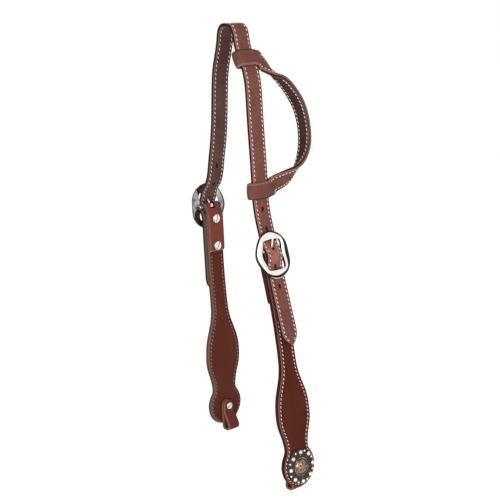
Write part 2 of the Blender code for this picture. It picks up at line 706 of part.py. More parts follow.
def driver_slot(radius):
    reach = radius + CUT_OVERRUN
    return block((-reach, -DRIVER_SLOT_WIDTH / 2, SCREW_HEAD_THICKNESS - DRIVER_SLOT_DEPTH),
                 (reach, DRIVER_SLOT_WIDTH / 2, SCREW_HEAD_THICKNESS + CUT_OVERRUN))


def turned_across(degrees, axis):
    """A direction square to an axis in the Y-Z plane, turned away from X."""
    angle = math.radians(degrees)
    third = np.cross(axis, (1, 0, 0))
    return math.cos(angle) * np.array([1.0, 0, 0]) + math.sin(angle) * third


def make_screw(name, side, radius, turn, point, outward, origin):
    """A slotted screw whose head's underside is at a point on the cheek's inner side."""
    inward = deep(-outward)
    across = turned_across(turn, inward)
    screw = placed(screw_shape(radius), deep(point), inward, across)
    made = add_object(f"{side.name}_{name}", screw, NICKEL, origin)
    cut = placed(driver_slot(radius), deep(point), inward, across)
    combine(made, add_tool(f"{side.name}_{name}_slot_cutter", [cut]), "DIFFERENCE")


def make_fold_fasteners(side):
    """Two posts from outside and two screws from inside, through the fold."""
    underside = CHEEK_PLY / 2 - COUNTERBORE_DEPTH + GAP
    origin = deep(side.bar)
    for name, place, turn in (("upper", UPPER_POST, UPPER_TURN), ("lower", LOWER_POST, LOWER_TURN)):
        point, outward, _ = local_axes(side.cheek, place, side.sign)
        post = post_shape(POST_HEAD_RADIUS, underside + POST_HEAD_THICKNESS, underside, GAP - FOLD_FACE)
        post = placed(post, deep(point), deep(outward))
        add_object(f"{side.name}_{name}_post", post, NICKEL, origin)
        seat = point - outward * (FOLD_FACE + GAP)
        make_screw(f"{name}_screw", side, SCREW_HEAD_RADIUS, turn, seat, outward, origin)


def make_concho(side):
    """Disc, rim of large and small balls, dome in its seat, and the screw behind."""
    point, outward, _ = local_axes(side.cheek, DISC_CENTRE, side.sign)
    base = CHEEK_PLY / 2 + GAP
    origin = deep(point + outward * base)
    axis = deep(outward)
    end = -(LOOP_FACE + base - GAP)
    seat = DOME_RADIUS + GAP
    ring = (CONCHO_RADIUS + seat) / 2
    profile = [(0, end + BORE_DEPTH), (BORE_RADIUS, end + BORE_DEPTH), (BORE_RADIUS, end),
               (BARREL_RADIUS, end), (BARREL_RADIUS, 0), (CONCHO_RADIUS, 0), (CONCHO_RADIUS, CONCHO_RIM),
               (ring, CONCHO_THICKNESS), (seat, CONCHO_THICKNESS),
               (seat, CONCHO_THICKNESS - DOME_SEAT), (0, CONCHO_THICKNESS - DOME_SEAT)]
    disc = placed(lathe(profile, 2 * ROUND_SIDES), origin, axis)
    balls = []
    for i in range(BALL_PAIRS):
        for radius, turn in ((BIG_BALL_RADIUS, i), (SMALL_BALL_RADIUS, i + 0.5)):
            angle = 2 * math.pi * turn / BALL_PAIRS
            reach = CONCHO_RADIUS - radius - GAP
            centre = (reach * math.cos(angle), reach * math.sin(angle), CONCHO_RIM + radius / 2)
            balls.append(placed(ball(radius, centre), origin, axis))
    concho = add_object(f"{side.name}_concho", disc, ANTIQUE, origin)
    combine(concho, add_tool(f"{side.name}_concho_ball_tool", balls), "UNION")
    floor = CONCHO_THICKNESS - DOME_SEAT + GAP
    dome = [(0, floor)] + [(DOME_RADIUS * across, floor + DOME_HEIGHT * up) for across, up in DOME_SHARES]
    add_object(f"{side.name}_concho_dome", placed(lathe(dome, DOME_SIDES), origin, axis), COPPER, origin)
    seat = point - outward * (LOOP_FACE + GAP)
    make_screw("concho_screw", side, CONCHO_SCREW_RADIUS, CONCHO_TURN, seat, outward, origin)


def loop_path():
    """The bit loop's middle line as (down from the screw, inward from the outer cheek ply's middle)."""
    top = LOOP_NOSE_INSET - LOOP_WIDTH / 2
    far = FRONT_LEAF + EYE_WIDTH + LOOP_PLY
    corner = (far - FRONT_LEAF - EYE_FLAT) / 2
    bottom = DISC_RADIUS + LOOP_DROP - LOOP_PLY / 2
    shoulder = bottom - corner
    count = int(shoulder / FINE_STEP)
    front = [(d, FRONT_LEAF) for d in np.linspace(top, shoulder, count)]
    turn = np.linspace(0, np.pi / 2, EYE_TURN_STEPS + 1)
    first = [(shoulder + corner * math.sin(a), FRONT_LEAF + corner * (1 - math.cos(a))) for a in turn]
    second = [(shoulder + corner * math.cos(a), far - corner * (1 - math.sin(a))) for a in turn]
    t = np.linspace(0, 1, count)
    spread = list(zip(shoulder + (LOOP_SPLIT - shoulder) * t, blend(t, far, REAR_LEAF)))
    back = [(d, REAR_LEAF) for d in np.linspace(LOOP_SPLIT, top, LEAF_STEPS + 1)]
    return np.array(front + first[1:] + second + spread[1:] + back[1:])


def make_bit_loop(side):
    point, outward, down = local_axes(side.cheek, DISC_CENTRE, side.sign)
    local = loop_path()
    path = point + np.outer(local[:, 0], down) - np.outer(local[:, 1], outward)
    along = lengths(path)
    nose = LOOP_WIDTH / 2
    rounds = nose * (1 - np.cos(np.radians(NOSE_ANGLES)))
    flat = along[[int(np.argmax(local[:, 0])), len(local) - 1 - int(np.argmax(local[::-1, 0]))]]
    places = stations(path, [*rounds, *(along[-1] - rounds), *flat])
    from_end = np.minimum(places, along[-1] - places)
    below_top = np.minimum(from_end + LOOP_NOSE_INSET - nose, 0)
    half_widths = np.sqrt(nose**2 - below_top**2)
    half_widths = np.maximum(half_widths, LOOP_NOSE)
    bm = flat_band(path, places, half_widths, -LOOP_PLY / 2, LOOP_PLY / 2)
    loop = add_object(f"{side.name}_bit_loop", bm, TAN, deep(point))
    hole = cylinder(HOLE_RADIUS, -LOOP_FACE - CUT_OVERRUN, 0)
    tool = add_tool(f"{side.name}_bit_loop_cutter", [placed(hole, deep(point), deep(outward))])
    combine(loop, tool, "DIFFERENCE")


def ear_middle(right):
    """The D's middle line with its normals and widths, from the upper loop round to the lower one."""
    upper, upper_out, _ = local_axes(right.crown, EAR_TOP, right.sign)
    lower, lower_out, _ = local_axes(right.crown, EAR_TOP + EAR_SPAN, right.sign)
    forward = np.array(EAR_FORWARD_SHARES) * EAR_REACH
    down = np.array(EAR_DOWN_SHARES)
    knots = np.column_stack([forward, upper + np.outer(down, lower - upper)])
    chord = lengths(knots)
    fine = np.arange(0, chord[-1], FINE_STEP)
    middle = np.column_stack([through(np.column_stack([chord, column]), fine) for column in knots.T])
    share = (fine / chord[-1])[:, None]
    base = np.array(deep(upper_out)) * (1 - share) + np.array(deep(lower_out)) * share
    ahead = unit(np.gradient(middle, axis=0))
    side_way = unit(base - ahead * np.sum(base * ahead, axis=1, keepdims=True))
    outside = np.cross(side_way, ahead)
    twist = np.radians(EAR_TWIST * through(EAR_TWIST_SHARES, share[:, 0]))[:, None]
    normals = side_way * np.cos(twist) + outside * np.sin(twist)
    across = np.cross(ahead, normals)
    from_end = np.minimum(fine, fine[-1] - fine)
    spread = blend(np.clip((from_end - EAR_LEAF_END) / (EAR_JOIN - EAR_LEAF_END), 0, 1), EAR_LEAF, EAR_SEWN)
    return SimpleNamespace(points=middle, normals=normals, across=across, spread=spread[:, None],
                           from_end=from_end)


def rear_wrap(centre, normal, across):
    """Half a turn round the crown's rear edge, from its inner to its outer face."""
    turns = np.linspace(-np.pi / 2, np.pi / 2, WRAP_SIDES + 1)
    directions = np.outer(-np.cos(turns), (1.0, 0, 0)) + np.outer(np.sin(turns), normal)
    points = centre - np.array([EAR_REAR, 0, 0]) + directions * EAR_LEAF
    return points, directions, np.tile(across, (len(turns), 1))


def ear_stations(mid, wanted):
    """Indices of sections: after each turn or twist of the band, or long run, and the wanted ones."""
    ahead = unit(np.gradient(mid.points, axis=0))
    kept = [0]
    for i in range(1, len(mid.points) - 1):
        last = kept[-1]
        bend = np.degrees(np.arccos(np.clip(ahead[i] @ ahead[last], -1, 1)))
        roll = np.degrees(np.arccos(np.clip(mid.normals[i] @ mid.normals[last], -1, 1)))
        far = np.linalg.norm(mid.points[i] - mid.points[last]) >= MAX_STEP
        if max(bend, roll) >= MAX_TURN or far or i in wanted:
            kept.append(i)
    return np.array(kept + [len(mid.points) - 1])


def make_ear(right):
    """Outer ply: back leaf, wrap, front leaf and D, wrap, back leaf. Lining: only in the D."""
    mid = ear_middle(right)
    final = len(mid.points) - 1
    leaf = int(round(EAR_RETURN / FINE_STEP))
    kept = ear_stations(mid, (leaf, leaf + 1, final - leaf - 1, final - leaf))
    front = mid.points + mid.normals * mid.spread
    back = mid.points - mid.normals * mid.spread
    first = kept[kept <= leaf][::-1]
    last = kept[kept >= final - leaf][::-1]
    upper = rear_wrap(mid.points[0], mid.normals[0], mid.across[0])
    lower = [part[::-1] for part in rear_wrap(mid.points[-1], mid.normals[-1], mid.across[-1])]
    points = np.vstack([back[first[:-1]], upper[0], front[kept[1:-1]], lower[0], back[last[1:]]])
    normals = np.vstack([-mid.normals[first[:-1]], upper[1], mid.normals[kept[1:-1]], lower[1],
                         -mid.normals[last[1:]]])
    across = np.vstack([mid.across[first[:-1]], upper[2], mid.across[kept[1:-1]], lower[2],
                        mid.across[last[1:]]])
    origin = deep(local_axes(right.crown, EAR_TOP, right.sign)[0])
    half = EAR_PLY / 2
    strap = band(points, across, normals, EAR_WIDTH / 2, -half, half)
    add_object("ear_strap", strap, RUSSET, origin)
    sewn = kept[(kept > leaf) & (kept < final - leaf)]
    lining = band(back[sewn], mid.across[sewn], mid.normals[sewn], EAR_WIDTH / 2, -half, half)
    add_object("ear_lining", lining, DARK, origin)


def lay_out():
    right = make_side("right", -1, RIGHT_DROP, RIGHT_LEAN_SHARES, RIGHT_TILT, RIGHT_ENTRY_LEAN,
                      RIGHT_CHEEK_LEAN_SHARES)
    left = make_side("left", 1, LEFT_DROP, LEFT_LEAN_SHARES, LEFT_TILT, LEFT_ENTRY_LEAN,
                     LEFT_CHEEK_LEAN_SHARES)
    return right, left


def main():
    clear_scene()
    right, left = lay_out()
    make_crown(right, left)
    make_ear(right)
    for side in (right, left):
        make_buckle(side)
        make_tongue(side)
        make_cheek(side)
        make_fold_fasteners(side)
        make_concho(side)
        make_bit_loop(side)


main()
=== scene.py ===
# %% [markdown]
# # A western headstall with one ear piece
#
# This notebook dresses a leather headstall, the part of a western bridle that
# goes over the horse's head. It hangs from its crown, as on a bridle rack. The
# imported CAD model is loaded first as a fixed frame. Each leather strap, buckle
# and ornament is then worked out again as a fine surface that sits exactly
# where the plain solid is, and gets its own material.

# %% Load the frame
from types import SimpleNamespace

import bpy
import numpy as np
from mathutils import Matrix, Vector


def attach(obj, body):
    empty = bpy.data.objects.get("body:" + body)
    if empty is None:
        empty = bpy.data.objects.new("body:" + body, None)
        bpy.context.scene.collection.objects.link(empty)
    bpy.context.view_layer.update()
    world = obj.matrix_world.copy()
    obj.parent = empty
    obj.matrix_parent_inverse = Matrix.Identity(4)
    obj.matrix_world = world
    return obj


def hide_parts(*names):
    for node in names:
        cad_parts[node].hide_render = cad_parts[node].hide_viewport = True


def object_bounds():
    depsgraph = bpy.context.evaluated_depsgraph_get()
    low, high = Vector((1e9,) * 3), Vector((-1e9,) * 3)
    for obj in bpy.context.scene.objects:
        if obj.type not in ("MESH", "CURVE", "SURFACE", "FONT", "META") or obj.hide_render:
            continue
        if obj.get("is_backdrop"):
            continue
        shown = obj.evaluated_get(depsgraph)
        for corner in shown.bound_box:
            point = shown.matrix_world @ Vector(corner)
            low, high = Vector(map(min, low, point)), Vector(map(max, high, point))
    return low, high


MM = 0.001
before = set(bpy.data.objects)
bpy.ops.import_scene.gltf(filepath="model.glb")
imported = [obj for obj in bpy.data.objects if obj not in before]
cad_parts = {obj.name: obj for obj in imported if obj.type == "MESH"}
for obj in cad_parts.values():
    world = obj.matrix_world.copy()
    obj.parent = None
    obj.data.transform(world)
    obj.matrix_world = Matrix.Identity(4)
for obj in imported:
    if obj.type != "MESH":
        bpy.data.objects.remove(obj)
CAD_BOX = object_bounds()

# %% [markdown]
# ## Sizes
#
# The straps follow paths in the plane x = 0, so the same few sizes that shaped
# the solids are written here again. +X is the horse's front, +Y its left and
# +Z up. A real crown strap is 19 mm wide and is made of two plies of leather,
# sewn together along both edges.

# %% Sizes of the crown
GAP = 0.3 * MM
FINE_STEP = 0.5 * MM

STRAP_WIDTH = 19.0 * MM
CROWN_PLY = 1.65 * MM
POLL_FLAT = 6.0 * MM
RIGHT_DROP = 213.5 * MM
LEFT_DROP = 176.5 * MM
TAIL_LENGTH = 88.0 * MM
TIP_LENGTH = 13.0 * MM
TIP_SHARES = ((0, 0.16), (0.15, 0.42), (0.4, 0.74), (0.7, 0.93), (1, 1))
HOLE_PITCH = 19.5 * MM
HOLE_WIDTH = 2.6 * MM
HOLE_LENGTH = 4.6 * MM
STRETCHED_WIDTH = 3.2 * MM
STRETCHED_LENGTH = 7.0 * MM
HOLES_EACH_WAY = 2
RIGHT_LEAN_SHARES = ((0, 90), (0.03, 40), (0.06, 15), (0.10, 17.5), (0.15, 28), (0.20, 27.5),
                     (0.27, 13), (0.34, 5.5), (0.45, 6), (0.60, 6.5), (0.80, 7), (0.88, 16.5),
                     (0.94, 19.5), (1, 19.2))
LEFT_LEAN_SHARES = ((0, 90), (0.04, 32), (0.08, 8), (0.14, 12.5), (0.22, 14), (0.32, 4.5),
                    (0.45, 1.5), (0.60, 4.5), (0.74, 9.5), (0.84, 9), (0.90, 21), (0.95, 40),
                    (1, 10))
RIGHT_TILT = 19.2
LEFT_TILT = -4.5
RIGHT_ENTRY_LEAN = 0.0
LEFT_ENTRY_LEAN = 14.5
BAR_BULGE = 4.5 * MM
RISE_RUN = 12.5 * MM
FALL_RUN = 12.0 * MM
BAR_RADIUS = 1.4 * MM
CROWN_HALF = CROWN_PLY + GAP / 2
print("the crown is", round(2 * CROWN_HALF / MM, 2), "mm thick")

# %% Sizes of the cheeks
CHEEK_PLY = 2.2 * MM
LINING_PLY = 2.6 * MM
CHEEK_LENGTH = 230.0 * MM
FOLD_LENGTH = 46.6 * MM
FOLD_RUN = 8.0 * MM
LINING_TOP = 9.4 * MM
SLOT_WIDTH = 4.8 * MM
BLADE_START = 96.0 * MM
BLADE_PEAK = 158.5 * MM
NECK = 190.0 * MM
BLADE_WIDTH = 41.5 * MM
NECK_WIDTH = 27.5 * MM
DISC_RADIUS = 20.0 * MM
NECK_ROUNDING = 2.2 * MM
SWELL_SHARES = ((0, 0), (0.25, 0.08), (0.36, 0.20), (0.52, 0.50), (0.68, 0.80), (0.84, 0.96),
                (1, 1))
WAIST_SHARES = ((0, 1), (0.20, 0.93), (0.38, 0.74), (0.68, 0.31), (1, 0))
RIGHT_CHEEK_LEAN_SHARES = ((0, 19.2), (0.15, 15.8), (0.32, 12.3), (0.52, 9.7), (0.70, 8.6),
                           (0.80, 8.8), (0.86, 8.8), (0.93, 8.8), (1, 8.8))
LEFT_CHEEK_LEAN_SHARES = ((0, -4.5), (0.15, -4), (0.32, -7.5), (0.52, -6.5), (0.70, -2),
                          (0.80, -3.5), (0.86, -3.5), (0.93, -3.5), (1, -3.5))

FOLD_RADIUS = BAR_RADIUS + GAP + CHEEK_PLY / 2
CREST = FOLD_RADIUS + CHEEK_PLY / 2 + GAP + CROWN_HALF
ARM_LINE = CREST - BAR_BULGE
ARM_BACK = ARM_LINE + CROWN_HALF + GAP
LEG_OFFSET = CROWN_HALF + GAP + CHEEK_PLY / 2
LINING_OFFSET = CHEEK_PLY / 2 + GAP + LINING_PLY / 2
FOLD_OFFSET = CHEEK_PLY + 2 * GAP + LINING_PLY
LINING_FACE = LINING_OFFSET + LINING_PLY / 2
FOLD_FACE = FOLD_OFFSET + CHEEK_PLY / 2
DISC_CENTRE = CHEEK_LENGTH - DISC_RADIUS
print("a cheek is", round((CHEEK_PLY + GAP + LINING_PLY) / MM, 2), "mm thick")

# %% [markdown]
# ## Paths
#
# A hanging strap is described by how much it leans at each place on its way
# down. A small table gives the lean, a smooth curve is read through the table,
# and adding up the steps gives the path. Each side starts at the middle of the
# crown, goes over the buckle's bar and ends in the tail. The cheek hangs from
# the same bar, folded round it.

# %% Curves
def blend(t, start, end, start_slope=0.0, end_slope=0.0):
    """Cubic from start to end as t goes from 0 to 1, with the given slopes per unit of t."""
    return ((2 * t**3 - 3 * t**2 + 1) * start + (t**3 - 2 * t**2 + t) * start_slope
            + (3 * t**2 - 2 * t**3) * end + (t**3 - t**2) * end_slope)


def ease(value, low, high):
    """Goes smoothly from 0 at low to 1 at high: 3 t^2 - 2 t^3 of the clipped share t."""
    share = np.clip((np.asarray(value, dtype=float) - low) / (high - low), 0, 1)
    return blend(share, 0.0, 1.0)


def bell(value, middle, width):
    """A bell curve of the distance from the middle: exp(-(distance / width)^2)."""
    return np.exp(-((value - middle) / width) ** 2)


def through(table, at):
    """A smooth curve through (place, value) pairs: a cubic a span, with the neighbours' slopes."""
    places, values = np.array(table, dtype=float).T
    slopes = np.gradient(values, places)
    index = np.clip(np.searchsorted(places, at) - 1, 0, len(places) - 2)
    span = places[index + 1] - places[index]
    t = (at - places[index]) / span
    return blend(t, values[index], values[index + 1], slopes[index] * span,
                 slopes[index + 1] * span)


def circle(count):
    """Equal angles round a whole turn."""
    return 2 * np.pi * np.arange(count) / count


# %% Directions and distances
ACROSS = np.array([1.0, 0.0, 0.0])


def in_space(pair):
    """A (y, z) pair as a point or direction in space, with x = 0."""
    return np.array([0.0, *pair])


def unit(vectors):
    return vectors / np.linalg.norm(vectors, axis=-1, keepdims=True)


def lengths(points):
    """Distance of each point of a path from its start: the running sum of its steps."""
    steps = np.linalg.norm(np.diff(points, axis=0), axis=1)
    return np.concatenate([[0.0], np.cumsum(steps)])


def read_at(along, rows, places):
    """Rows known at some distances, read between them in straight lines at other places."""
    return np.stack([np.interp(places, along, column) for column in rows.T], axis=1)


def read_path(points, places):
    return read_at(lengths(points), points, places)


def left_normals(points):
    """Unit normals to the left of a path in the Y-Z plane: its direction turned a quarter."""
    ahead = unit(np.gradient(points, axis=0))
    return np.stack([-ahead[:, 1], ahead[:, 0]], axis=1)


# %% Paths of the two sides
def march(start, lean_shares, length, sign):
    """Each small step down leans from the vertical by an angle read from the table."""
    count = int(round(length / FINE_STEP))
    lean = np.radians(through(lean_shares, (np.arange(count) + 0.5) / count))
    moves = np.stack([sign * np.sin(lean), -np.cos(lean)], axis=1) * length / count
    return np.array(start) + np.vstack([[0.0, 0.0], np.cumsum(moves, axis=0)])


def in_buckle(side, along, out):
    """World (y, z) of places given along the buckle and out from its bar."""
    return side.bar + np.outer(along, side.up) + np.outer(out, side.out)


def crown_line(along, entry_lean):
    """Distance out from the bar to the crown's middle, under the arms and over the bar."""
    slope = np.tan(np.radians(entry_lean)) * RISE_RUN
    above = blend(np.clip(along / RISE_RUN, 0, 1), CREST, ARM_LINE, 0, -slope)
    below = blend(np.clip(-along / FALL_RUN, 0, 1), CREST, ARM_LINE)
    return np.where(np.asarray(along) > 0, above, below)


def make_side(name, sign, drop, leans, tilt, entry_lean, cheek_leans):
    """The crown's path, the buckle's axes and the outer cheek ply's path of one side."""
    angle = np.radians(tilt)
    side = SimpleNamespace(name=name, sign=sign)
    side.up = np.array([-sign * np.sin(angle), np.cos(angle)])
    side.out = np.array([sign * np.cos(angle), np.sin(angle)])
    free = march((sign * POLL_FLAT / 2, CROWN_HALF), leans, drop, sign)
    side.bar = free[-1] - side.up * RISE_RUN - side.out * ARM_LINE
    run = np.arange(RISE_RUN - FINE_STEP, -TAIL_LENGTH, -FINE_STEP)
    passage = in_buckle(side, run, crown_line(run, entry_lean))
    side.crown = np.vstack([free, passage])
    leg = passage[(run <= FINE_STEP / 2) & (run > -FALL_RUN - 2 * FINE_STEP)]
    leg = leg - sign * left_normals(leg) * LEG_OFFSET
    hang = march(leg[-1], cheek_leans, CHEEK_LENGTH - lengths(leg)[-1], sign)
    side.cheek = np.vstack([leg, hang[1:]])
    return side


def local_axes(points, place, sign):
    """Point of a downward path at a distance, with its outward and downward directions."""
    near = read_path(points, [place - FINE_STEP, place, place + FINE_STEP])
    down = unit(near[2] - near[0])
    return near[1], sign * np.array([-down[1], down[0]]), down


RIGHT = make_side("right", -1, RIGHT_DROP, RIGHT_LEAN_SHARES, RIGHT_TILT, RIGHT_ENTRY_LEAN,
                  RIGHT_CHEEK_LEAN_SHARES)
LEFT = make_side("left", 1, LEFT_DROP, LEFT_LEAN_SHARES, LEFT_TILT, LEFT_ENTRY_LEAN,
                 LEFT_CHEEK_LEAN_SHARES)
SIDES = (RIGHT, LEFT)
CROWN_PATH = np.vstack([RIGHT.crown[::-1], LEFT.crown])
CROWN_TOTAL = lengths(CROWN_PATH)[-1]
print("the crown is", round(CROWN_TOTAL / MM), "mm long")

# %% [markdown]
# ## From arrays to meshes
#
# Every new piece is a grid of points, computed as one array. Rows follow the
# piece and columns go round its section, so the faces are found by shifting
# the grid of point numbers by one. If the enclosed volume comes out negative,
# the surface is inside out, and the order of the columns is turned round.

# %% Grid to mesh
def enclosed(points):
    """Volume inside a closed tube of rings: the sum of a . (b x c) / 6 over its triangles."""
    centre = points.reshape(-1, 3).mean(axis=0)
    a = points[:-1] - centre
    b = np.roll(points[:-1], -1, axis=1) - centre
    c = np.roll(points[1:], -1, axis=1) - centre
    d = points[1:] - centre
    return np.sum(a * np.cross(b, c) + a * np.cross(c, d)) / 6


def tube_faces(points, start, cap):
    """Faces of a grid of closed rings: a quad joins two rings, and caps close the end rings."""
    rows, columns = points.shape[:2]
    index = start + np.arange(rows * columns).reshape(rows, columns)
    if enclosed(points) < 0:
        index = index[:, ::-1]
    low = index[:-1]
    high = index[1:]
    quads = np.stack([low, np.roll(low, -1, axis=1), np.roll(high, -1, axis=1), high], axis=-1)
    faces = quads.reshape(-1, 4).tolist()
    if cap:
        faces += [index[0][::-1].tolist(), index[-1].tolist()]
    return faces


def smooth_mesh(name, points, faces):
    mesh = bpy.data.meshes.new(name)
    mesh.from_pydata(np.reshape(points, (-1, 3)).tolist(), [], faces)
    mesh.shade_smooth()
    return mesh


def show(name, data):
    """Puts a mesh, lamp or camera into the scene, as an object of the same name."""
    made = bpy.data.objects.new(name, data)
    bpy.context.scene.collection.objects.link(made)
    return made


def make_mesh(name, grids, cap=True, sharp=50.0, **attributes):
    """One object from one or more closed grids, with a number per point for each attribute."""
    faces = []
    start = 0
    for grid in grids:
        faces += tube_faces(grid, start, cap)
        start += grid.shape[0] * grid.shape[1]
    mesh = smooth_mesh(name, np.vstack([grid.reshape(-1, 3) for grid in grids]), faces)
    for key, values in attributes.items():
        layer = mesh.attributes.new(key, "FLOAT", "POINT")
        layer.data.foreach_set("value", np.asarray(values, dtype=np.float32).ravel())
    mesh.set_sharp_from_angle(angle=np.radians(sharp))
    return show(name, mesh)


# %% Dress and cut a piece
def dress(piece, body, material, slot, *nodes):
    """Gives a piece its material, a CAD body to ride on and the CAD nodes that it replaces."""
    piece.data.materials.clear()
    piece.data.materials.append(material)
    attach(piece, body)
    if nodes:
        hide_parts(*nodes)
    print(piece.name, "has", len(piece.data.polygons), "faces and rides on", body)


def mark_pits(mesh, value):
    layer = mesh.attributes.new("pit", "FLOAT", "FACE")
    layer.data.foreach_set("value", np.full(len(mesh.polygons), value, dtype=np.float32))


def cut(piece, cutters):
    """Cuts closed shapes out of a piece with a Boolean. Faces inside the cuts get pit = 1."""
    mark_pits(piece.data, 0.0)
    mark_pits(cutters.data, 1.0)
    step = piece.modifiers.new("holes", "BOOLEAN")
    step.operation = "DIFFERENCE"
    step.solver = "EXACT"
    step.object = cutters
    graph = bpy.context.evaluated_depsgraph_get()
    result = bpy.data.meshes.new_from_object(piece.evaluated_get(graph))
    piece.modifiers.clear()
    piece.data = result
    bpy.data.objects.remove(cutters, do_unlink=True)
    return piece


# %% [markdown]
# Two simple solids serve for all that is round or cut. A turned one carries a
# profile round an axis. A prism carries a flat outline along one, and is the
# shape of every cutter. Both take three axes, the last of them their own.

# %% Turned solids and prisms
def face_axes(outward):
    """X, the direction along the strap and the (y, z) direction outward, all three in space."""
    outward = in_space(outward)
    return ACROSS, np.cross(outward, ACROSS), outward


def turned_grid(radius, height, origin, axes, sides):
    """Rings round the third axis. Radius and height may change from angle to angle."""
    first, second, axis = axes
    turns = circle(sides)[:, None]
    ring = np.cos(turns) * first + np.sin(turns) * second
    return origin + radius[..., None] * ring + height[..., None] * axis


def turned(profile, origin, axes, sides=48):
    """A profile of (radius, height) pairs turned round the third axis."""
    radius, height = np.array(profile, dtype=float).T[..., None]
    return turned_grid(radius, height, origin, axes, sides)


def round_outline(radius, sides=40):
    return radius * np.column_stack([np.cos(circle(sides)), np.sin(circle(sides))])


def prism(centre, axes, outline, low, high):
    """An outline in the plane of the first two axes, carried from low to high on the third."""
    first, second, along = axes
    ring = outline[:, :1] * first + outline[:, 1:] * second
    return centre + np.stack([ring + along * low, ring + along * high])


# %% [markdown]
# ## Shader sums
#
# Materials are node trees, but their maths is easier to read as expressions.
# `Value` wraps a socket and turns `+`, `-` and `*` into Math nodes, and
# `Recipe.add` makes any other node: its settings first, then its sockets.

# %% A small language for materials
class Value:
    """A socket whose sums become Math nodes."""

    def __init__(self, recipe, socket):
        self.recipe = recipe
        self.socket = socket

    def maths(self, operation, first, second):
        return self.recipe.add("ShaderNodeMath", {"operation": operation}, {0: first, 1: second})

    def __add__(self, other):
        return self.maths("ADD", self, other)

    def __sub__(self, other):
        return self.maths("SUBTRACT", self, other)

    def __rsub__(self, other):
        return self.maths("SUBTRACT", other, self)

    def __mul__(self, other):
        return self.maths("MULTIPLY", self, other)

    __radd__ = __add__
    __rmul__ = __mul__

    def ease(self, low, high):
        """0 below low, 1 above high and smooth between, like the array function of that name."""
        return self.recipe.add("ShaderNodeMapRange", {"interpolation_type": "SMOOTHSTEP"},
                               {"Value": self, "From Min": low, "From Max": high})


class Recipe:
    """The nodes of a material or world under construction."""

    def __init__(self, holder):
        holder.use_nodes = True
        self.holder = holder
        self.tree = holder.node_tree
        self.tree.nodes.clear()
        self.place = self.add("ShaderNodeTexCoord", output="Object")

    def add(self, kind, settings=None, sockets=None, output=0):
        node = self.tree.nodes.new(kind)
        for key, value in (settings or {}).items():
            setattr(node, key, value)
        for key, value in (sockets or {}).items():
            socket = node.inputs[key]
            if isinstance(value, Value):
                self.tree.links.new(value.socket, socket)
            elif isinstance(value, tuple) and len(socket.default_value) == 4:
                socket.default_value = (*value, 1.0)
            else:
                socket.default_value = value
        return Value(self, node.outputs[output])

    def attribute(self, name):
        return self.add("ShaderNodeAttribute", {"attribute_name": name}, output="Fac")

    def noise(self, size, detail=3.0, roughness=0.55):
        """Cloudy noise between 0 and 1 whose patches are about as wide as size, in metres."""
        return self.add("ShaderNodeTexNoise", {}, {"Vector": self.place, "Scale": 0.5 / size,
                                                   "Detail": detail, "Roughness": roughness}, "Fac")

    def cells(self, size):
        """Distance from the middle of the nearest cell, for pores and pebbles."""
        return self.add("ShaderNodeTexVoronoi", {}, {"Vector": self.place, "Scale": 1.0 / size},
                        "Distance")

    def mix(self, factor, first, second):
        """Colour that goes from first to second as the factor goes from 0 to 1."""
        return self.add("ShaderNodeMix", {"data_type": "RGBA"}, {0: factor, 6: first, 7: second}, 2)

    def bump(self, height, depth):
        """Shading normal of a surface raised by height times depth, in metres."""
        return self.add("ShaderNodeBump", {}, {"Strength": 1.0, "Distance": depth,
                                               "Height": height})

    def rays(self, *kinds):
        """1 for rays of one of these kinds, such as Is Camera Ray, and 0 for all others."""
        return sum(self.add("ShaderNodeLightPath", output=kind) for kind in kinds).ease(0.0, 1.0)

    def show_surface(self, shader, kind="ShaderNodeOutputMaterial"):
        node = self.tree.nodes.new(kind)
        self.tree.links.new(shader.socket, node.inputs["Surface"])
        return self.holder

    def finish(self, **sockets):
        """Ends a material in one Principled shader. A socket's spaces are written as _ here."""
        named = {key.replace("_", " "): value for key, value in sockets.items()}
        return self.show_surface(self.add("ShaderNodeBsdfPrincipled", {}, named, "BSDF"))


def new_material(name):
    return Recipe(bpy.data.materials.new(name))


# %% [markdown]
# ## Leather
#
# Oiled bridle leather is red brown, a little cloudy, and darker where the
# stitching pulls it down. The straps carry five numbers for this. `inset` is
# the distance from the edge in millimetres, negative on the cut side. `groove`
# is 1 under a row of stitches. `fold` is 1 where the strap bends hard and makes
# its colour lighter; over the buckles' bars this is a painted highlight. `rim`
# is 1 for a painted highlight on the burnished edge along one side, 2 where the
# leather was pared thin and is paler, and -1 for painted shade along the other
# edge and in the seam between two plies. `pit` is 1 inside a hole, whose walls
# are painted dark as shade.

# %% Leather material
SHEEN_TINT = (1.0, 0.74, 0.62)
SKIVED = (0.50, 0.30, 0.25)
CLOUD_SIZE = 11 * MM
SPECK_SIZE = 1.5 * MM
FIBRE_SIZE = 0.7 * MM
PORE_SIZE = 0.75 * MM
CREASE_SIZE = 3.2 * MM
GRAIN_DEPTH = 0.11 * MM
LEATHER_IOR = 1.45


def shaded(colour, share, lift=0.0):
    """A colour times a share, plus a lift in each channel."""
    return tuple(share * part + lift for part in colour)


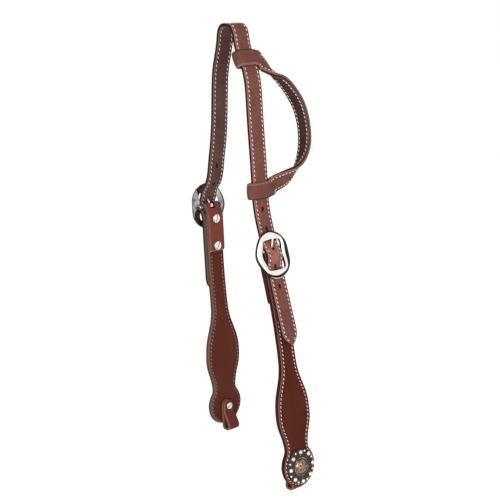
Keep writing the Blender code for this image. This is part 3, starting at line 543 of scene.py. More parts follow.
def leather(name, face, deep, edge, lighter, gloss=0.46, clouds=0.5, mottle=0.3, grain=1.0,
            sheen=0.15):
    """Clouds and specks of deep on face, then the cut edge, painted highlights and painted shade.
    """
    made = new_material(name)
    rim = made.attribute("rim")
    cloud = made.noise(CLOUD_SIZE, 4.0, 0.6).ease(0.35, 0.68)
    speck = made.noise(SPECK_SIZE, 2.0, 0.6)
    colour = made.mix(cloud * clouds, face, deep)
    colour = made.mix(made.attribute("fold"), colour, lighter)
    colour = made.mix(speck.ease(0.45, 0.70) * mottle, colour, deep)
    colour = made.mix(made.attribute("groove") * 0.65, colour, shaded(deep, 0.35))
    side = 1 - made.attribute("inset").ease(-0.35, -0.05)
    fibre = made.noise(FIBRE_SIZE, 3.0, 0.6).ease(0.35, 0.7)
    colour = made.mix(side, colour, made.mix(fibre, shaded(edge, 0.65), edge))
    # Painted highlight where rim is above 0, the paler pared lip near 2, and painted shade below 0.
    colour = made.mix(rim.ease(0.1, 0.9) * 0.75, colour, shaded(lighter, 1.0, 0.03))
    colour = made.mix(rim.ease(1.2, 1.8), colour, SKIVED)
    colour = made.mix((0 - rim).ease(0.1, 0.9) * 0.85, colour, shaded(deep, 0.2))
    # Painted shade: the walls of holes are painted dark.
    colour = made.mix(made.attribute("pit"), colour, shaded(deep, 0.2))
    creases = made.noise(CREASE_SIZE, 5.0, 0.62)
    height = made.cells(PORE_SIZE) * 0.35 + speck * 0.5 + creases * 1.3
    roughness = gloss + cloud * 0.08 + side * 0.2 + speck * 0.08
    return made.finish(Base_Color=colour, Roughness=roughness,
                       Normal=made.bump(height, GRAIN_DEPTH * grain), IOR=LEATHER_IOR,
                       Specular_IOR_Level=sheen, Specular_Tint=SHEEN_TINT)


# %% [markdown]
# The same recipe gives every leather of the headstall. The crown and the ear
# piece are russet, with darker linings, and the cheeks are a deeper chestnut.
# The left cheek shows its bare inner edge, so its edges are paler.

# %% The leathers
RUSSET = leather("russet_crown_leather", face=(0.172, 0.062, 0.048), deep=(0.098, 0.037, 0.031),
                 edge=(0.030, 0.013, 0.010), lighter=(0.33, 0.135, 0.095), mottle=0.6)
TAWNY = leather("russet_ear_leather", face=(0.150, 0.054, 0.042), deep=(0.090, 0.033, 0.027),
                edge=(0.190, 0.085, 0.062), lighter=(0.30, 0.130, 0.095), mottle=0.6)
PLUM = leather("plum_lining_leather", face=(0.108, 0.052, 0.047), deep=(0.060, 0.027, 0.025),
               edge=(0.022, 0.012, 0.010), lighter=(0.16, 0.090, 0.075), gloss=0.6, clouds=0.6,
               sheen=0.22)
DAMSON = leather("ear_lining_leather", face=(0.062, 0.028, 0.026), deep=(0.036, 0.016, 0.015),
                 edge=(0.050, 0.026, 0.022), lighter=(0.13, 0.075, 0.065), gloss=0.6, clouds=0.6,
                 sheen=0.07)
CHESTNUT = {}
OXBLOOD = {}
for side_name, edge in (("right", (0.045, 0.017, 0.013)), ("left", (0.150, 0.098, 0.072))):
    CHESTNUT[side_name] = leather(
        f"{side_name}_chestnut_cheek_leather", face=(0.078, 0.0155, 0.0088),
        deep=(0.050, 0.0110, 0.0070), edge=edge, lighter=(0.225, 0.066, 0.046), gloss=0.40,
        mottle=0.2, grain=0.5, sheen=0.07)
    OXBLOOD[side_name] = leather(
        f"{side_name}_oxblood_lining_leather", face=(0.098, 0.0240, 0.0155),
        deep=(0.070, 0.017, 0.011), edge=edge, lighter=(0.17, 0.075, 0.055), gloss=0.42,
        clouds=0.35, mottle=0.15, grain=0.3, sheen=0.07)
LACE = leather("bit_loop_leather", face=(0.130, 0.031, 0.020), deep=(0.080, 0.019, 0.012),
               edge=(0.16, 0.07, 0.045), lighter=(0.28, 0.11, 0.075), gloss=0.42, grain=0.6,
               sheen=0.08)
print(len(CHESTNUT) + len(OXBLOOD) + 5, "leathers")

# %% [markdown]
# ## Thread and metal
#
# Thread is a twisted cord of waxed nylon, pale cream, and darker on the
# cheeks' inner faces as painted shade. The buckles are polished until they
# mirror the room, the screws are plain nickel, and the conchos are cast and
# then darkened, with only their high parts rubbed bright.

# %% Thread and metal materials
THREAD_TWISTS = 420.0
TWIST_DEPTH = 0.05 * MM
CAST_DEPTH = 0.14 * MM
SLOT_SHADE = (0.012, 0.010, 0.009)


def thread(name, colour, dirt):
    """Thread soiled in patches, with its twist as slanted bands of bump."""
    made = new_material(name)
    soiled = made.noise(2.5 * MM, 2.0).ease(0.4, 0.75)
    twist = made.add("ShaderNodeTexWave",
                     {"wave_type": "BANDS", "bands_direction": "DIAGONAL"},
                     {"Vector": made.place, "Scale": THREAD_TWISTS, "Distortion": 0.4}, "Fac")
    return made.finish(Base_Color=made.mix(soiled * 0.45, colour, dirt), Roughness=0.62,
                       Normal=made.bump(twist, TWIST_DEPTH))


def bright_metal(name, colour, flank, gloss):
    """Polished metal, darker by a painted reflection, and uneven where that is between 0 and 1."""
    made = new_material(name)
    painted_dark = made.attribute("flank")
    haze = made.noise(4 * MM, 3.0)
    cloudy = painted_dark + (haze - 0.5) * (painted_dark * (1 - painted_dark)) * 2.4
    mixed = made.mix(cloudy.ease(0.0, 1.0), colour, flank)
    # Painted shade: slots and holes are painted near black.
    mixed = made.mix(made.attribute("pit"), mixed, SLOT_SHADE)
    return made.finish(Base_Color=mixed, Metallic=1.0, Roughness=gloss + haze * 0.05)


def cast_metal(name, low, high, wear):
    """Darkened metal whose raised parts, marked by their number `high`, are rubbed bright."""
    made = new_material(name)
    patina = made.noise(1.3 * MM, 4.0, 0.65)
    bright = (made.attribute("high") + (patina - 0.5) * 2 * wear).ease(0.35, 0.85)
    return made.finish(Base_Color=made.mix(bright, low, high), Metallic=1.0,
                       Roughness=0.52 - bright * 0.30, Normal=made.bump(patina, CAST_DEPTH))


CREAM = thread("cream_thread", (0.82, 0.64, 0.56), (0.42, 0.28, 0.23))
# A darker copy of the cream thread, painted as shade, for the cheeks' inner faces.
SHADED_THREAD = thread("oiled_thread", (0.30, 0.21, 0.185), (0.14, 0.08, 0.07))
CHROME = bright_metal("polished_buckle_metal", (0.86, 0.86, 0.85), (0.020, 0.019, 0.018), 0.07)
NICKEL = bright_metal("nickel_screw_metal", (0.86, 0.84, 0.79), (0.060, 0.050, 0.042), 0.16)
SILVER = cast_metal("antique_silver", (0.052, 0.044, 0.036), (0.68, 0.64, 0.58), 0.45)
COPPER = cast_metal("rubbed_copper", (0.065, 0.045, 0.030), (0.40, 0.245, 0.180), 0.8)
print(len(bpy.data.materials), "materials with the frame's own")

# %% [markdown]
# ## A strap's section
#
# All straps share one section: a flat face, two rounded corners and a cut side
# at each edge. The columns across the face crowd together near the row of
# stitches, because there the thread pulls the leather down into a groove. The
# section is computed for all stations at once, so a strap may swell and
# narrow along its length.

# %% A strap's section
ROW_INSET = 2.4 * MM
GROOVE_DEPTH = 0.22 * MM
GROOVE_WIDTH = 0.55 * MM
OPEN_ROUNDING = 0.7 * MM
SEAM_ROUNDING = 0.3 * MM
ROUNDING_SHARE = 0.42
FULL_HALF = 7.2 * MM
# Painted highlight and painted shade along the margins and corners of a strap's edges.
GLEAM = 0.75
GLEAM_INSET = 1.1 * MM
GLEAM_WIDTH = 0.6 * MM
PAINTED_SHADE_INSETS = (0.6 * MM, 1.4 * MM)
PAINTED_SHADE_CORNER = -0.85
SIDE_INSET = 0.25 * MM
EDGE_COLUMNS = np.array([0.75, 1.0, 1.4, 1.75, 2.0, 2.2, 2.4, 2.6, 2.8, 3.1, 3.6, 4.4, 5.4]) * MM
MIDDLE_SHARES = np.array([-0.75, -0.4, 0.0, 0.4, 0.75])
CORNER_TURNS = np.radians([90, 68, 45, 22, 0])


def corner_columns(half, rounding, is_seam):
    """One corner of the section, from the face to the side: a quarter circle.

    Across is half - r + r cos(t) and the drop from the face is r - r sin(t). The rim number is
    the sine of twice the angle, a painted highlight, and negative as painted shade in a seam.
    """
    across = half - rounding + rounding * np.cos(CORNER_TURNS)
    drop = np.broadcast_to(rounding - rounding * np.sin(CORNER_TURNS), across.shape)
    inset = -drop - SIDE_INSET * (CORNER_TURNS < 1.0)
    rim = np.broadcast_to(np.sin(2 * CORNER_TURNS) * (-1.0 if is_seam else 1.0), across.shape)
    return across, drop, inset, rim


def strap_section(half, low, high, sewn_high, sewn_low, row_inset, camber, seam, painted_shade_side):
    """Loop of (across, height, inset, groove, rim) for each station.

    Faces hold the edge columns and some middle ones. A groove is a bell curve of the distance
    from the row, and lowers the face by its depth. The camber raises the high face's middle
    by 1 - (across / half)^2. The margin outside a row gets painted shade along one edge, on the
    side given as 1 or -1, and a painted highlight along the other.
    """
    shrink = np.clip(half / FULL_HALF, 0.02, 1)
    near = half - EDGE_COLUMNS * shrink
    middle = MIDDLE_SHARES * (half - EDGE_COLUMNS[-1] * shrink)
    face = np.hstack([-near, middle, near[:, ::-1]])
    inset = half - np.abs(face)
    groove = bell(inset, row_inset, GROOVE_WIDTH)
    # A painted highlight on one margin and painted shade on the other.
    margin = np.where(face * painted_shade_side < 0, GLEAM * bell(inset, GLEAM_INSET, GLEAM_WIDTH),
                      ease(inset, *PAINTED_SHADE_INSETS) - 1)
    thick = (high - low) * ROUNDING_SHARE
    (top_out, top_drop, top_inset, top_rim), (low_out, low_drop, low_inset, low_rim) = (
        corner_columns(half, np.minimum(SEAM_ROUNDING if seam == name else OPEN_ROUNDING,
                                        thick) * shrink, seam == name)
        for name in ("high", "low"))
    top_groove = groove * sewn_high
    low_groove = groove * sewn_low
    top_face = high - GROOVE_DEPTH * top_groove + camber * (1 - (face / half) ** 2)
    low_face = low + GROOVE_DEPTH * low_groove
    none = np.zeros_like(top_out)
    # All corners on the shaded side get painted shade.
    shaded_corner = np.full_like(top_out, PAINTED_SHADE_CORNER)
    plus, minus = ((shaded_corner, shaded_corner), (top_rim, low_rim))[::painted_shade_side]
    across = (face, top_out, low_out[:, ::-1], face[:, ::-1], -low_out, -top_out[:, ::-1])
    height = (top_face, high - top_drop, (low + low_drop)[:, ::-1], low_face[:, ::-1],
              low + low_drop, (high - top_drop)[:, ::-1])
    inset = (inset, top_inset, low_inset[:, ::-1], inset[:, ::-1], low_inset, top_inset[:, ::-1])
    groove = (top_groove, none, none, low_groove[:, ::-1], none, none)
    rim = (margin, plus[0], plus[1][:, ::-1], margin[:, ::-1], minus[1], minus[0][:, ::-1])
    return [np.hstack(columns) for columns in (across, height, inset, groove, rim)]


# %% Straps from paths and sections
def stations(points, step=1.2 * MM, turn=4.0):
    """Places along a path, closer where it bends: equal steps of length / step + angle / turn."""
    along = lengths(points)
    ahead = unit(np.diff(points, axis=0))
    bends = np.degrees(np.arccos(np.clip(np.sum(ahead[1:] * ahead[:-1], axis=1), -1, 1)))
    measure = along / step + np.concatenate([[0.0], np.cumsum(bends), [bends.sum()]]) / turn
    count = int(np.ceil(measure[-1]))
    return np.interp(np.linspace(0, measure[-1], count + 1), measure, along)


def path_frames(points, places):
    """Centres, across and normal directions of a path in the Y-Z plane; across is +X."""
    smooth = read_path(points, places)
    ahead = unit(read_path(points, places + FINE_STEP) - read_path(points, places - FINE_STEP))
    zeros = np.zeros(len(places))
    centres = np.column_stack([zeros, smooth])
    normals = np.column_stack([zeros, -ahead[:, 1], ahead[:, 0]])
    return centres, np.tile(ACROSS, (len(places), 1)), normals


def make_strap(name, frames, half, low, high, sewn_high=0.0, sewn_low=0.0, row_inset=ROW_INSET,
               camber=0.0, fold=0.0, lip=0.0, seam="", painted_shade_side=1):
    """A strap with its inset, groove, rim and fold numbers; lip adds to the rim at a station.

    The sections lie on their frames: centre + across * w + normal * h.
    """
    centres, across, normals = (part[:, None] for part in frames)
    *sizes, fold, lip = (
        np.broadcast_to(part, len(centres))[:, None]
        for part in (half, low, high, sewn_high, sewn_low, row_inset, camber, fold, lip))
    w, h, inset, groove, rim = strap_section(*sizes, seam, painted_shade_side)
    points = centres + across * w[..., None] + normals * h[..., None]
    return make_mesh(name, [points], inset=inset / MM, groove=groove, rim=rim + lip,
                     fold=np.broadcast_to(fold, w.shape))


# %% [markdown]
# ## Stitches
#
# Saddle stitching leaves a short slanted bead of thread for each stitch, lying
# in the groove. One bead is a small capsule with few faces. All beads of a row
# are placed at once: each gets its own point, direction and normal, and the
# same template is turned into that frame. Their ends dip into the leather, as
# if they went down a hole.

# %% Stitches as beads of thread
BEAD_RADIUS = 0.48 * MM
BEAD_SIDES = 6
BEAD_DIP = 0.9
BEAD_SHARES = np.array([-1.0, -0.92, -0.62, 0.0, 0.62, 0.92, 1.0])
BEAD_SIZES = np.array([0.15, 0.62, 0.96, 1.0, 0.96, 0.62, 0.15])
SLANT = np.radians(18.0)
ROW_SUNK = 0.12 * MM


def bead_template(length, width):
    """A capsule along X: rings of six points, smaller and lower towards its ends."""
    turns = circle(BEAD_SIDES)
    dip = BEAD_SHARES[:, None] ** 4 * BEAD_DIP
    x = np.broadcast_to(BEAD_SHARES[:, None] * length / 2, (len(BEAD_SHARES), BEAD_SIDES))
    y = BEAD_SIZES[:, None] * np.cos(turns) * BEAD_RADIUS * width
    z = (BEAD_SIZES[:, None] * np.sin(turns) - dip) * BEAD_RADIUS
    return np.stack([x, y, z], axis=-1)


def bead_faces(count, start):
    """Quads and end caps of count capsules whose points follow each other."""
    rings = len(BEAD_SHARES)
    index = np.arange(rings * BEAD_SIDES).reshape(rings, BEAD_SIDES)
    low = index[:-1]
    high = index[1:]
    quads = np.stack([low, high, np.roll(high, -1, axis=1), np.roll(low, -1, axis=1)], axis=-1)
    shift = start + np.arange(count)[:, None, None] * rings * BEAD_SIDES
    caps = np.stack([index[0], index[-1][::-1]]) + shift
    return ((quads.reshape(-1, 4) + shift).reshape(-1, 4).tolist()
            + caps.reshape(-1, BEAD_SIDES).tolist())


def sew(name, rows):
    """Beads for rows given as (points, normals, length, width share): one mesh for all of them.

    Each bead's direction a and side b are turned by the slant: a cos + b sin, b cos - a sin.
    """
    chunks = []
    faces = []
    start = 0
    for points, normals, length, width in rows:
        ahead = unit(np.gradient(points, axis=0))
        normals = unit(normals - ahead * np.sum(normals * ahead, axis=1, keepdims=True))
        beside = np.cross(normals, ahead)
        slanted = ahead * np.cos(SLANT) + beside * np.sin(SLANT)
        square = beside * np.cos(SLANT) - ahead * np.sin(SLANT)
        axes = np.stack([slanted, square, normals], axis=1)
        template = bead_template(length, width)
        beads = points[:, None, None] + np.einsum("ijk,nkl->nijl", template, axes)
        chunks.append(beads.reshape(-1, 3))
        faces += bead_faces(len(points), start)
        start += len(chunks[-1])
    print(name, "are", start // (len(BEAD_SHARES) * BEAD_SIDES))
    return show(name, smooth_mesh(name, np.vstack(chunks), faces))


def row_places(start, end, pitch):
    """Evenly spaced places from start to end, about pitch apart."""
    count = max(int(round((end - start) / pitch)), 1)
    return start + (np.arange(count) + 0.5) * (end - start) / count


# %% [markdown]
# ## The crown
#
# The crown is one long strap of two plies, pointed at both ends. Its outer ply
# is reddish and its lining a dark plum. Oblong holes are punched through both
# plies for the buckle's tongue. The two plies are two pieces, and the cutters
# for the holes are small oval prisms.

# %% The crown's outline and holes
TONGUE_ANGLE = 28.0
HOLE_SIDES = 28
CUT_PAST = 2 * MM
BEND_WIDTH = 11 * MM


def crown_half_width(places):
    """Half the strap's width: constant, but read through the tip table near both ends."""
    from_tip = np.minimum(places, CROWN_TOTAL - places)
    return STRAP_WIDTH / 2 * through(TIP_SHARES, np.clip(from_tip / TIP_LENGTH, 0, 1))


def stadium(width, length):
    """An oval outline: a circle whose two halves are moved apart along the strap."""
    radius = width / 2
    turns = np.linspace(0, 2 * np.pi, HOLE_SIDES, endpoint=False)
    along = radius * np.sin(turns) + np.sign(np.sin(turns)) * (length / 2 - radius)
    return np.column_stack([radius * np.cos(turns), along])


def tongue_crossing(side):
    """Distance down the crown at which the tongue's line passes through it."""
    local = side.crown - side.bar
    up = local @ side.up
    miss = local @ side.out - up * np.tan(np.radians(TONGUE_ANGLE))
    near = (up > 0) & (up < RISE_RUN)
    return np.interp(0, miss[near], lengths(side.crown)[near])


def crown_cutters(name):
    """Five holes a side. The middle one, which the tongue goes through, is stretched."""
    grids = []
    reach = CROWN_HALF + CUT_PAST
    for side in SIDES:
        for step in range(-HOLES_EACH_WAY, HOLES_EACH_WAY + 1):
            place = tongue_crossing(side) + step * HOLE_PITCH
            point, outward, _ = local_axes(side.crown, place, side.sign)
            size = (HOLE_WIDTH, HOLE_LENGTH) if step else (STRETCHED_WIDTH, STRETCHED_LENGTH)
            grids.append(prism(in_space(point), face_axes(outward), stadium(*size), -reach, reach))
    return make_mesh(name, grids)


def over_bars(places):
    """1 where the crown bends over a bar, as a painted highlight, and 0 away from it: a bell curve.
    """
    middle = lengths(RIGHT.crown)[-1]
    bars = (middle - RIGHT_DROP - RISE_RUN, middle + LEFT_DROP + RISE_RUN)
    return sum(bell(places, bar, BEND_WIDTH) for bar in bars)


# %% Crown plies
tips = np.array([0.02, 0.3, 0.8]) * MM
crown_places = np.unique(np.concatenate([tips, stations(CROWN_PATH)[1:-1], CROWN_TOTAL - tips]))
crown_frames = path_frames(CROWN_PATH, crown_places)
# The outer ply's fold number over the bars gives it a painted highlight there.
CROWN_PLIES = (
    ("outer", GAP / 2, CROWN_HALF,
     {"sewn_high": 1.0, "seam": "low", "fold": over_bars(crown_places)},
     RUSSET, "russet_leather", "crown_strap"),
    ("inner", -CROWN_HALF, -GAP / 2, {"sewn_low": 1.0, "seam": "high"},
     PLUM, "dark_leather", "crown_lining"))
for ply, low, high, look, material, slot, node in CROWN_PLIES:
    strap = make_strap(f"crown_{ply}_ply", crown_frames, crown_half_width(crown_places), low,
                       high, **look)
    dress(cut(strap, crown_cutters(f"{ply}_hole_cutters")), "crown", material, slot, node)

# %% [markdown]
# The crown's stitches follow both edges on both faces. Near the tips the two
# rows run together, because they keep their distance from the edge.

# %% Crown stitches
CROWN_PITCH = 4.2 * MM
CROWN_STITCH = 3.1 * MM
FINE_THREAD = 0.85
TIP_MARGIN = 2.5 * MM


def crown_rows():
    """Two rows a face: points at the half width less the inset, raised to the face."""
    places = row_places(TIP_MARGIN, CROWN_TOTAL - TIP_MARGIN, CROWN_PITCH)
    centres, across, normals = path_frames(CROWN_PATH, places)
    reach = np.maximum(crown_half_width(places) - ROW_INSET, 0)[:, None]
    lift = normals * (CROWN_HALF - ROW_SUNK)
    return [(centres + across * reach * edge + lift * face, normals * face, CROWN_STITCH,
             FINE_THREAD) for face in (1, -1) for edge in (1, -1)]


dress(sew("crown_stitches", crown_rows()), "crown", CREAM, "russet_leather")

# %% [markdown]
# ## The cheeks
#
# Each cheek is a strap that widens to a blade, narrows to a neck and ends in a
# disc under the concho. Its outer ply goes up, round the buckle's bar and back
# down the inner side, where two screws hold it. The blade's outline is read
# from small tables, and the neck is the smooth maximum of blade and disc.

# %% The cheek's outline and path
def cheek_half_width(places):
    """The blade swells from the strap and narrows to the neck, where it meets the disc.

    The smooth maximum of a and b is (a + b + sqrt((a - b)^2 + r^2)) / 2.
    """
    places = np.asarray(places)
    down = np.clip((places - BLADE_START) / (BLADE_PEAK - BLADE_START), 0, 1)
    below = np.clip((places - BLADE_PEAK) / (NECK - BLADE_PEAK), 0, 1)
    upper = STRAP_WIDTH + (BLADE_WIDTH - STRAP_WIDTH) * through(SWELL_SHARES, down)
    lower = NECK_WIDTH + (BLADE_WIDTH - NECK_WIDTH) * through(WAIST_SHARES, below)
    blade = np.where(places < BLADE_PEAK, upper, lower) / 2
    disc = np.sqrt(np.maximum(DISC_RADIUS**2 - (places - DISC_CENTRE) ** 2, 0))
    rounded = (blade + disc + np.sqrt((blade - disc) ** 2 + NECK_ROUNDING**2)) / 2
    smooth = np.where(places < NECK - NECK_ROUNDING, blade, rounded)
    return np.where(places < DISC_CENTRE, smooth, disc)


def cheek_stations(points, start):
    """Even places down to the disc's middle, then places at equal angles round its lower half."""
    upper = stations(points[lengths(points) <= DISC_CENTRE - start])
    angles = np.radians(np.concatenate([np.arange(4, 88, 3.0), [88.0, 89.2]]))
    return np.concatenate([upper, DISC_CENTRE - start + DISC_RADIUS * np.sin(angles)])


def fold_path(side):
    """The outer ply's whole path, up from the fold's end, round the bar and down, and the
    length of what comes before the cheek's own path."""
    outward = side.sign * left_normals(side.cheek)
    along = lengths(side.cheek)
    start = np.argmax((side.cheek - side.bar) @ side.up <= -FOLD_RUN)
    inner = (side.cheek - outward * FOLD_OFFSET)[start:][along[start:] <= FOLD_LENGTH][::-1]
    top = inner[-1] - side.bar
    t = np.linspace(0, 1, 24)[1:]
    rise = in_buckle(side, top @ side.up * (1 - t), blend(t, top @ side.out, -FOLD_RADIUS))
    turns = np.linspace(-np.pi / 2, np.pi / 2, 32)[1:-1]
    wrap = in_buckle(side, FOLD_RADIUS * np.cos(turns), FOLD_RADIUS * np.sin(turns))
    behind = np.vstack([inner, rise, wrap])
    return np.vstack([behind, side.cheek]), lengths(np.vstack([behind, side.cheek[:1]]))[-1]


# %% [markdown]
# The fold's end is pared thin, which leaves a pale lip. Both folds have a slot
# for the tongue and two sunk seats for the posts. The left side's normals
# point the other way, so there the ply's high face is its outer one.

# %% Cheek plies
UPPER_POST = 13.4 * MM
LOWER_POST = 41.0 * MM
POST_HEAD_RADIUS = 4.4 * MM
COUNTERBORE_DEPTH = 1.2 * MM
CHEEK_ROW = 3.0 * MM
DISC_ROW = 2.15 * MM
SKIVED_BY = 1.1 * MM
SKIVED_RUN = 3.5 * MM
LIP_RUN = (0.3 * MM, 1.4 * MM)
FOLD_LIGHT = 0.7
FIRST_PLACE = 0.02 * MM
CLEAR = 0.1 * MM


def cheek_row_inset(places):
    """The row's distance from the edge: a little less round the disc, to clear the concho."""
    return CHEEK_ROW + (DISC_ROW - CHEEK_ROW) * ease(places, NECK - 8 * MM, NECK + 6 * MM)


def facing(sign, sewn):
    """Which face is sewn and which lies in the seam, as make_strap takes them."""
    return {"sewn_high": sewn, "seam": "low"} if sign > 0 else {"sewn_low": sewn, "seam": "high"}


def cheek_holes(side):
    """The tongue's slot round the bar, and a counterbore for each post's head."""
    bar_axes = (in_space(side.up), in_space(side.out), ACROSS)
    holes = [prism(in_space(side.bar), bar_axes, round_outline(FOLD_RADIUS + CHEEK_PLY),
                   -SLOT_WIDTH / 2, SLOT_WIDTH / 2)]
    for place in (UPPER_POST, LOWER_POST):
        point, outward, _ = local_axes(side.cheek, place, side.sign)
        holes.append(prism(in_space(point), face_axes(outward),
                           round_outline(POST_HEAD_RADIUS + GAP),
                           CHEEK_PLY / 2 - COUNTERBORE_DEPTH, CHEEK_PLY / 2 + CUT_PAST))
    return holes


def outer_cheek(side):
    whole, fold = fold_path(side)
    upper = stations(whole[lengths(whole) <= fold + 2 * MM])
    upper = upper[(upper > CLEAR) & (upper < fold)]
    places = np.concatenate([[FIRST_PLACE], upper, fold + cheek_stations(side.cheek, 0.0)])
    down = places - fold
    half = np.where(down < 0, STRAP_WIDTH / 2, cheek_half_width(down))
    pared = CHEEK_PLY / 2 - SKIVED_BY * (1 - ease(places, 0.0, SKIVED_RUN))
    low, high = (-CHEEK_PLY / 2, pared) if side.sign > 0 else (-pared, CHEEK_PLY / 2)
    return make_strap(f"{side.name}_cheek_outer_ply", path_frames(whole, places), half, low, high,
                      row_inset=cheek_row_inset(down), lip=2 - 2 * ease(places, *LIP_RUN),
                      fold=(1 - ease(down, -4 * MM, 10 * MM)) * FOLD_LIGHT,
                      **facing(side.sign, ease(down, 14 * MM, 16 * MM)))


def inner_cheek(side):
    outward = side.sign * left_normals(side.cheek)
    hidden = (side.cheek - outward * LINING_OFFSET)[lengths(side.cheek) >= LINING_TOP]
    places = cheek_stations(hidden, LINING_TOP)
    places = np.concatenate([[FIRST_PLACE], places[places > CLEAR]])
    down = places + LINING_TOP
    sewn = ease(down, FOLD_LENGTH + 1 * MM, FOLD_LENGTH + 3 * MM)
    return make_strap(f"{side.name}_cheek_inner_ply", path_frames(hidden, places),
                      cheek_half_width(down), -LINING_PLY / 2, LINING_PLY / 2,
                      row_inset=cheek_row_inset(down), **facing(-side.sign, sewn))


for side in SIDES:
    body = f"{side.name}_cheek"
    outer = cut(outer_cheek(side), make_mesh("cheek_cutters", cheek_holes(side)))
    dress(outer, body, CHESTNUT[side.name], "russet_leather", f"{side.name}_cheek_strap")
    dress(inner_cheek(side), body, OXBLOOD[side.name], "dark_leather",
          f"{side.name}_cheek_lining")

# %% [markdown]
# The stitches round a cheek keep the same distance from its outline, so the
# outline is first laid out flat, moved inwards along its own normals, and then
# read at even steps. One row goes down one edge, round the disc and up again.

# %% Cheek stitches
CHEEK_PITCH = 3.9 * MM
CHEEK_STITCH = 2.9 * MM


def flat_row(start):
    """The outline (down, across) moved inwards by the inset, down one edge and up the other."""
    round_disc = DISC_CENTRE + DISC_RADIUS * np.sin(np.radians(np.arange(0, 90.5, 1.0)))
    down = np.concatenate([np.arange(start, DISC_CENTRE, FINE_STEP), round_disc])
    edge = np.column_stack([down, cheek_half_width(down)])
    edge[-1, 1] = 0.0
    ahead = unit(np.gradient(edge, axis=0))
    inward = np.column_stack([ahead[:, 1], -ahead[:, 0]])
    row = edge + inward * cheek_row_inset(down)[:, None]
    row = row[row[:, 1] > 0]
    return np.vstack([row, (row * [1, -1])[::-1]])


def cheek_rows(side, start, height, face):
    """The flat row laid on a face: a path point and a height over it for each stitch."""
    row = flat_row(start)
    flat = read_path(row, row_places(1 * MM, lengths(row)[-1] - 1 * MM, CHEEK_PITCH))
    centres, across, normals = path_frames(side.cheek, flat[:, 0])
    normals = normals * side.sign * face
    points = centres + across * flat[:, 1:2] + normals * (height - ROW_SUNK)
    return [(points, normals, CHEEK_STITCH, FINE_THREAD)]


# The inner rows take the darker thread, painted as shade.
for side in SIDES:
    for ply, start, height, face, material, slot in (
            ("outer", 16 * MM, CHEEK_PLY / 2, 1, CREAM, "russet_leather"),
            ("inner", FOLD_LENGTH + 3 * MM, LINING_FACE, -1, SHADED_THREAD, "dark_leather")):
        row = cheek_rows(side, start, height, face)
        dress(sew(f"{side.name}_cheek_{ply}_stitches", row), f"{side.name}_cheek", material, slot)

# %% [markdown]
# ## The ear piece
#
# The ear piece is a strap that goes round the crown as a loop at each end, and
# stands out to the front as a D for one ear. On the way it twists by a quarter
# turn, so that its flat side faces the ear. Its middle line is read from two
# tables, and the twist from a third one.

# %% The middle line of the D
EAR_PLY = 2.0 * MM
EAR_WIDTH = 15.5 * MM
EAR_TOP = 37.0 * MM
EAR_SPAN = 125.5 * MM
EAR_REACH = 66.7 * MM
EAR_LEAF_END = 10.5 * MM
EAR_JOIN = 18.5 * MM
EAR_LEAF = CROWN_HALF + 1.5 * MM + EAR_PLY / 2
EAR_SEWN = (EAR_PLY + GAP) / 2
EAR_FORWARD_SHARES = (0, 0.09, 0.18, 0.32, 0.44, 0.65, 0.83, 0.93, 0.985, 1, 0.99, 0.935, 0.80,
                      0.67, 0.495, 0.30, 0.18, 0.09, 0)
EAR_DOWN_SHARES = (0, 0, 0.012, 0.058, 0.104, 0.182, 0.292, 0.385, 0.491, 0.58, 0.66, 0.758,
                   0.858, 0.907, 0.941, 0.967, 0.988, 1, 1)
EAR_TWIST_SHARES = ((0, 0), (0.08, 0.02), (0.14, 0.30), (0.22, 0.78), (0.32, 0.96), (0.50, 1),
                    (0.62, 0.98), (0.72, 0.75), (0.82, 0.27), (0.90, 0.03), (1, 0))


def ear_middle():
    """Points, normals and across directions of the middle line, and each ply's distance from it.

    The untwisted normal is the crown's own, made square to the line. Twisting by an angle gives
    normal cos + outside sin, where outside is square to both.
    """
    upper, upper_out, _ = local_axes(RIGHT.crown, EAR_TOP, RIGHT.sign)
    lower, lower_out, _ = local_axes(RIGHT.crown, EAR_TOP + EAR_SPAN, RIGHT.sign)
    forward = np.array(EAR_FORWARD_SHARES) * EAR_REACH
    knots = np.column_stack([forward, upper + np.outer(EAR_DOWN_SHARES, lower - upper)])
    chord = lengths(knots)
    fine = np.arange(0, chord[-1], FINE_STEP)
    middle = np.column_stack([through(np.column_stack([chord, column]), fine)
                              for column in knots.T])
    share = (fine / chord[-1])[:, None]
    base = in_space(upper_out) * (1 - share) + in_space(lower_out) * share
    ahead = unit(np.gradient(middle, axis=0))
    side_way = unit(base - ahead * np.sum(base * ahead, axis=1, keepdims=True))
    outside = np.cross(side_way, ahead)
    twist = np.radians(90.0 * through(EAR_TWIST_SHARES, share[:, 0]))[:, None]
    normals = side_way * np.cos(twist) + outside * np.sin(twist)
    from_end = np.minimum(fine, fine[-1] - fine)
    closing = np.clip((from_end - EAR_LEAF_END) / (EAR_JOIN - EAR_LEAF_END), 0, 1)
    return SimpleNamespace(points=middle, normals=normals, across=np.cross(ahead, normals),
                           spread=blend(closing, EAR_LEAF, EAR_SEWN)[:, None], from_end=from_end)


EAR = ear_middle()
print("the D is", round(lengths(EAR.points)[-1] / MM), "mm round")

# %% [markdown]
# The outer ply starts behind the crown, wraps its rear edge, passes in front,
# makes the D and comes back the same way. It is put together from five runs.
# Where it wraps the crown, its face is slightly domed. The inner ply lines the
# D only, and the rows of stitches keep clear of the loops.

# %% Ear piece plies
EAR_RETURN = 20.5 * MM
EAR_REAR = STRAP_WIDTH / 2 - 0.5 * MM
EAR_CAMBER = 0.8 * MM
WRAP_POINTS = 30
OUTER_ROW_START = 16.5 * MM
INNER_ROW_START = 46.0 * MM
leaf = int(round(EAR_RETURN / FINE_STEP))
final = len(EAR.points) - 1


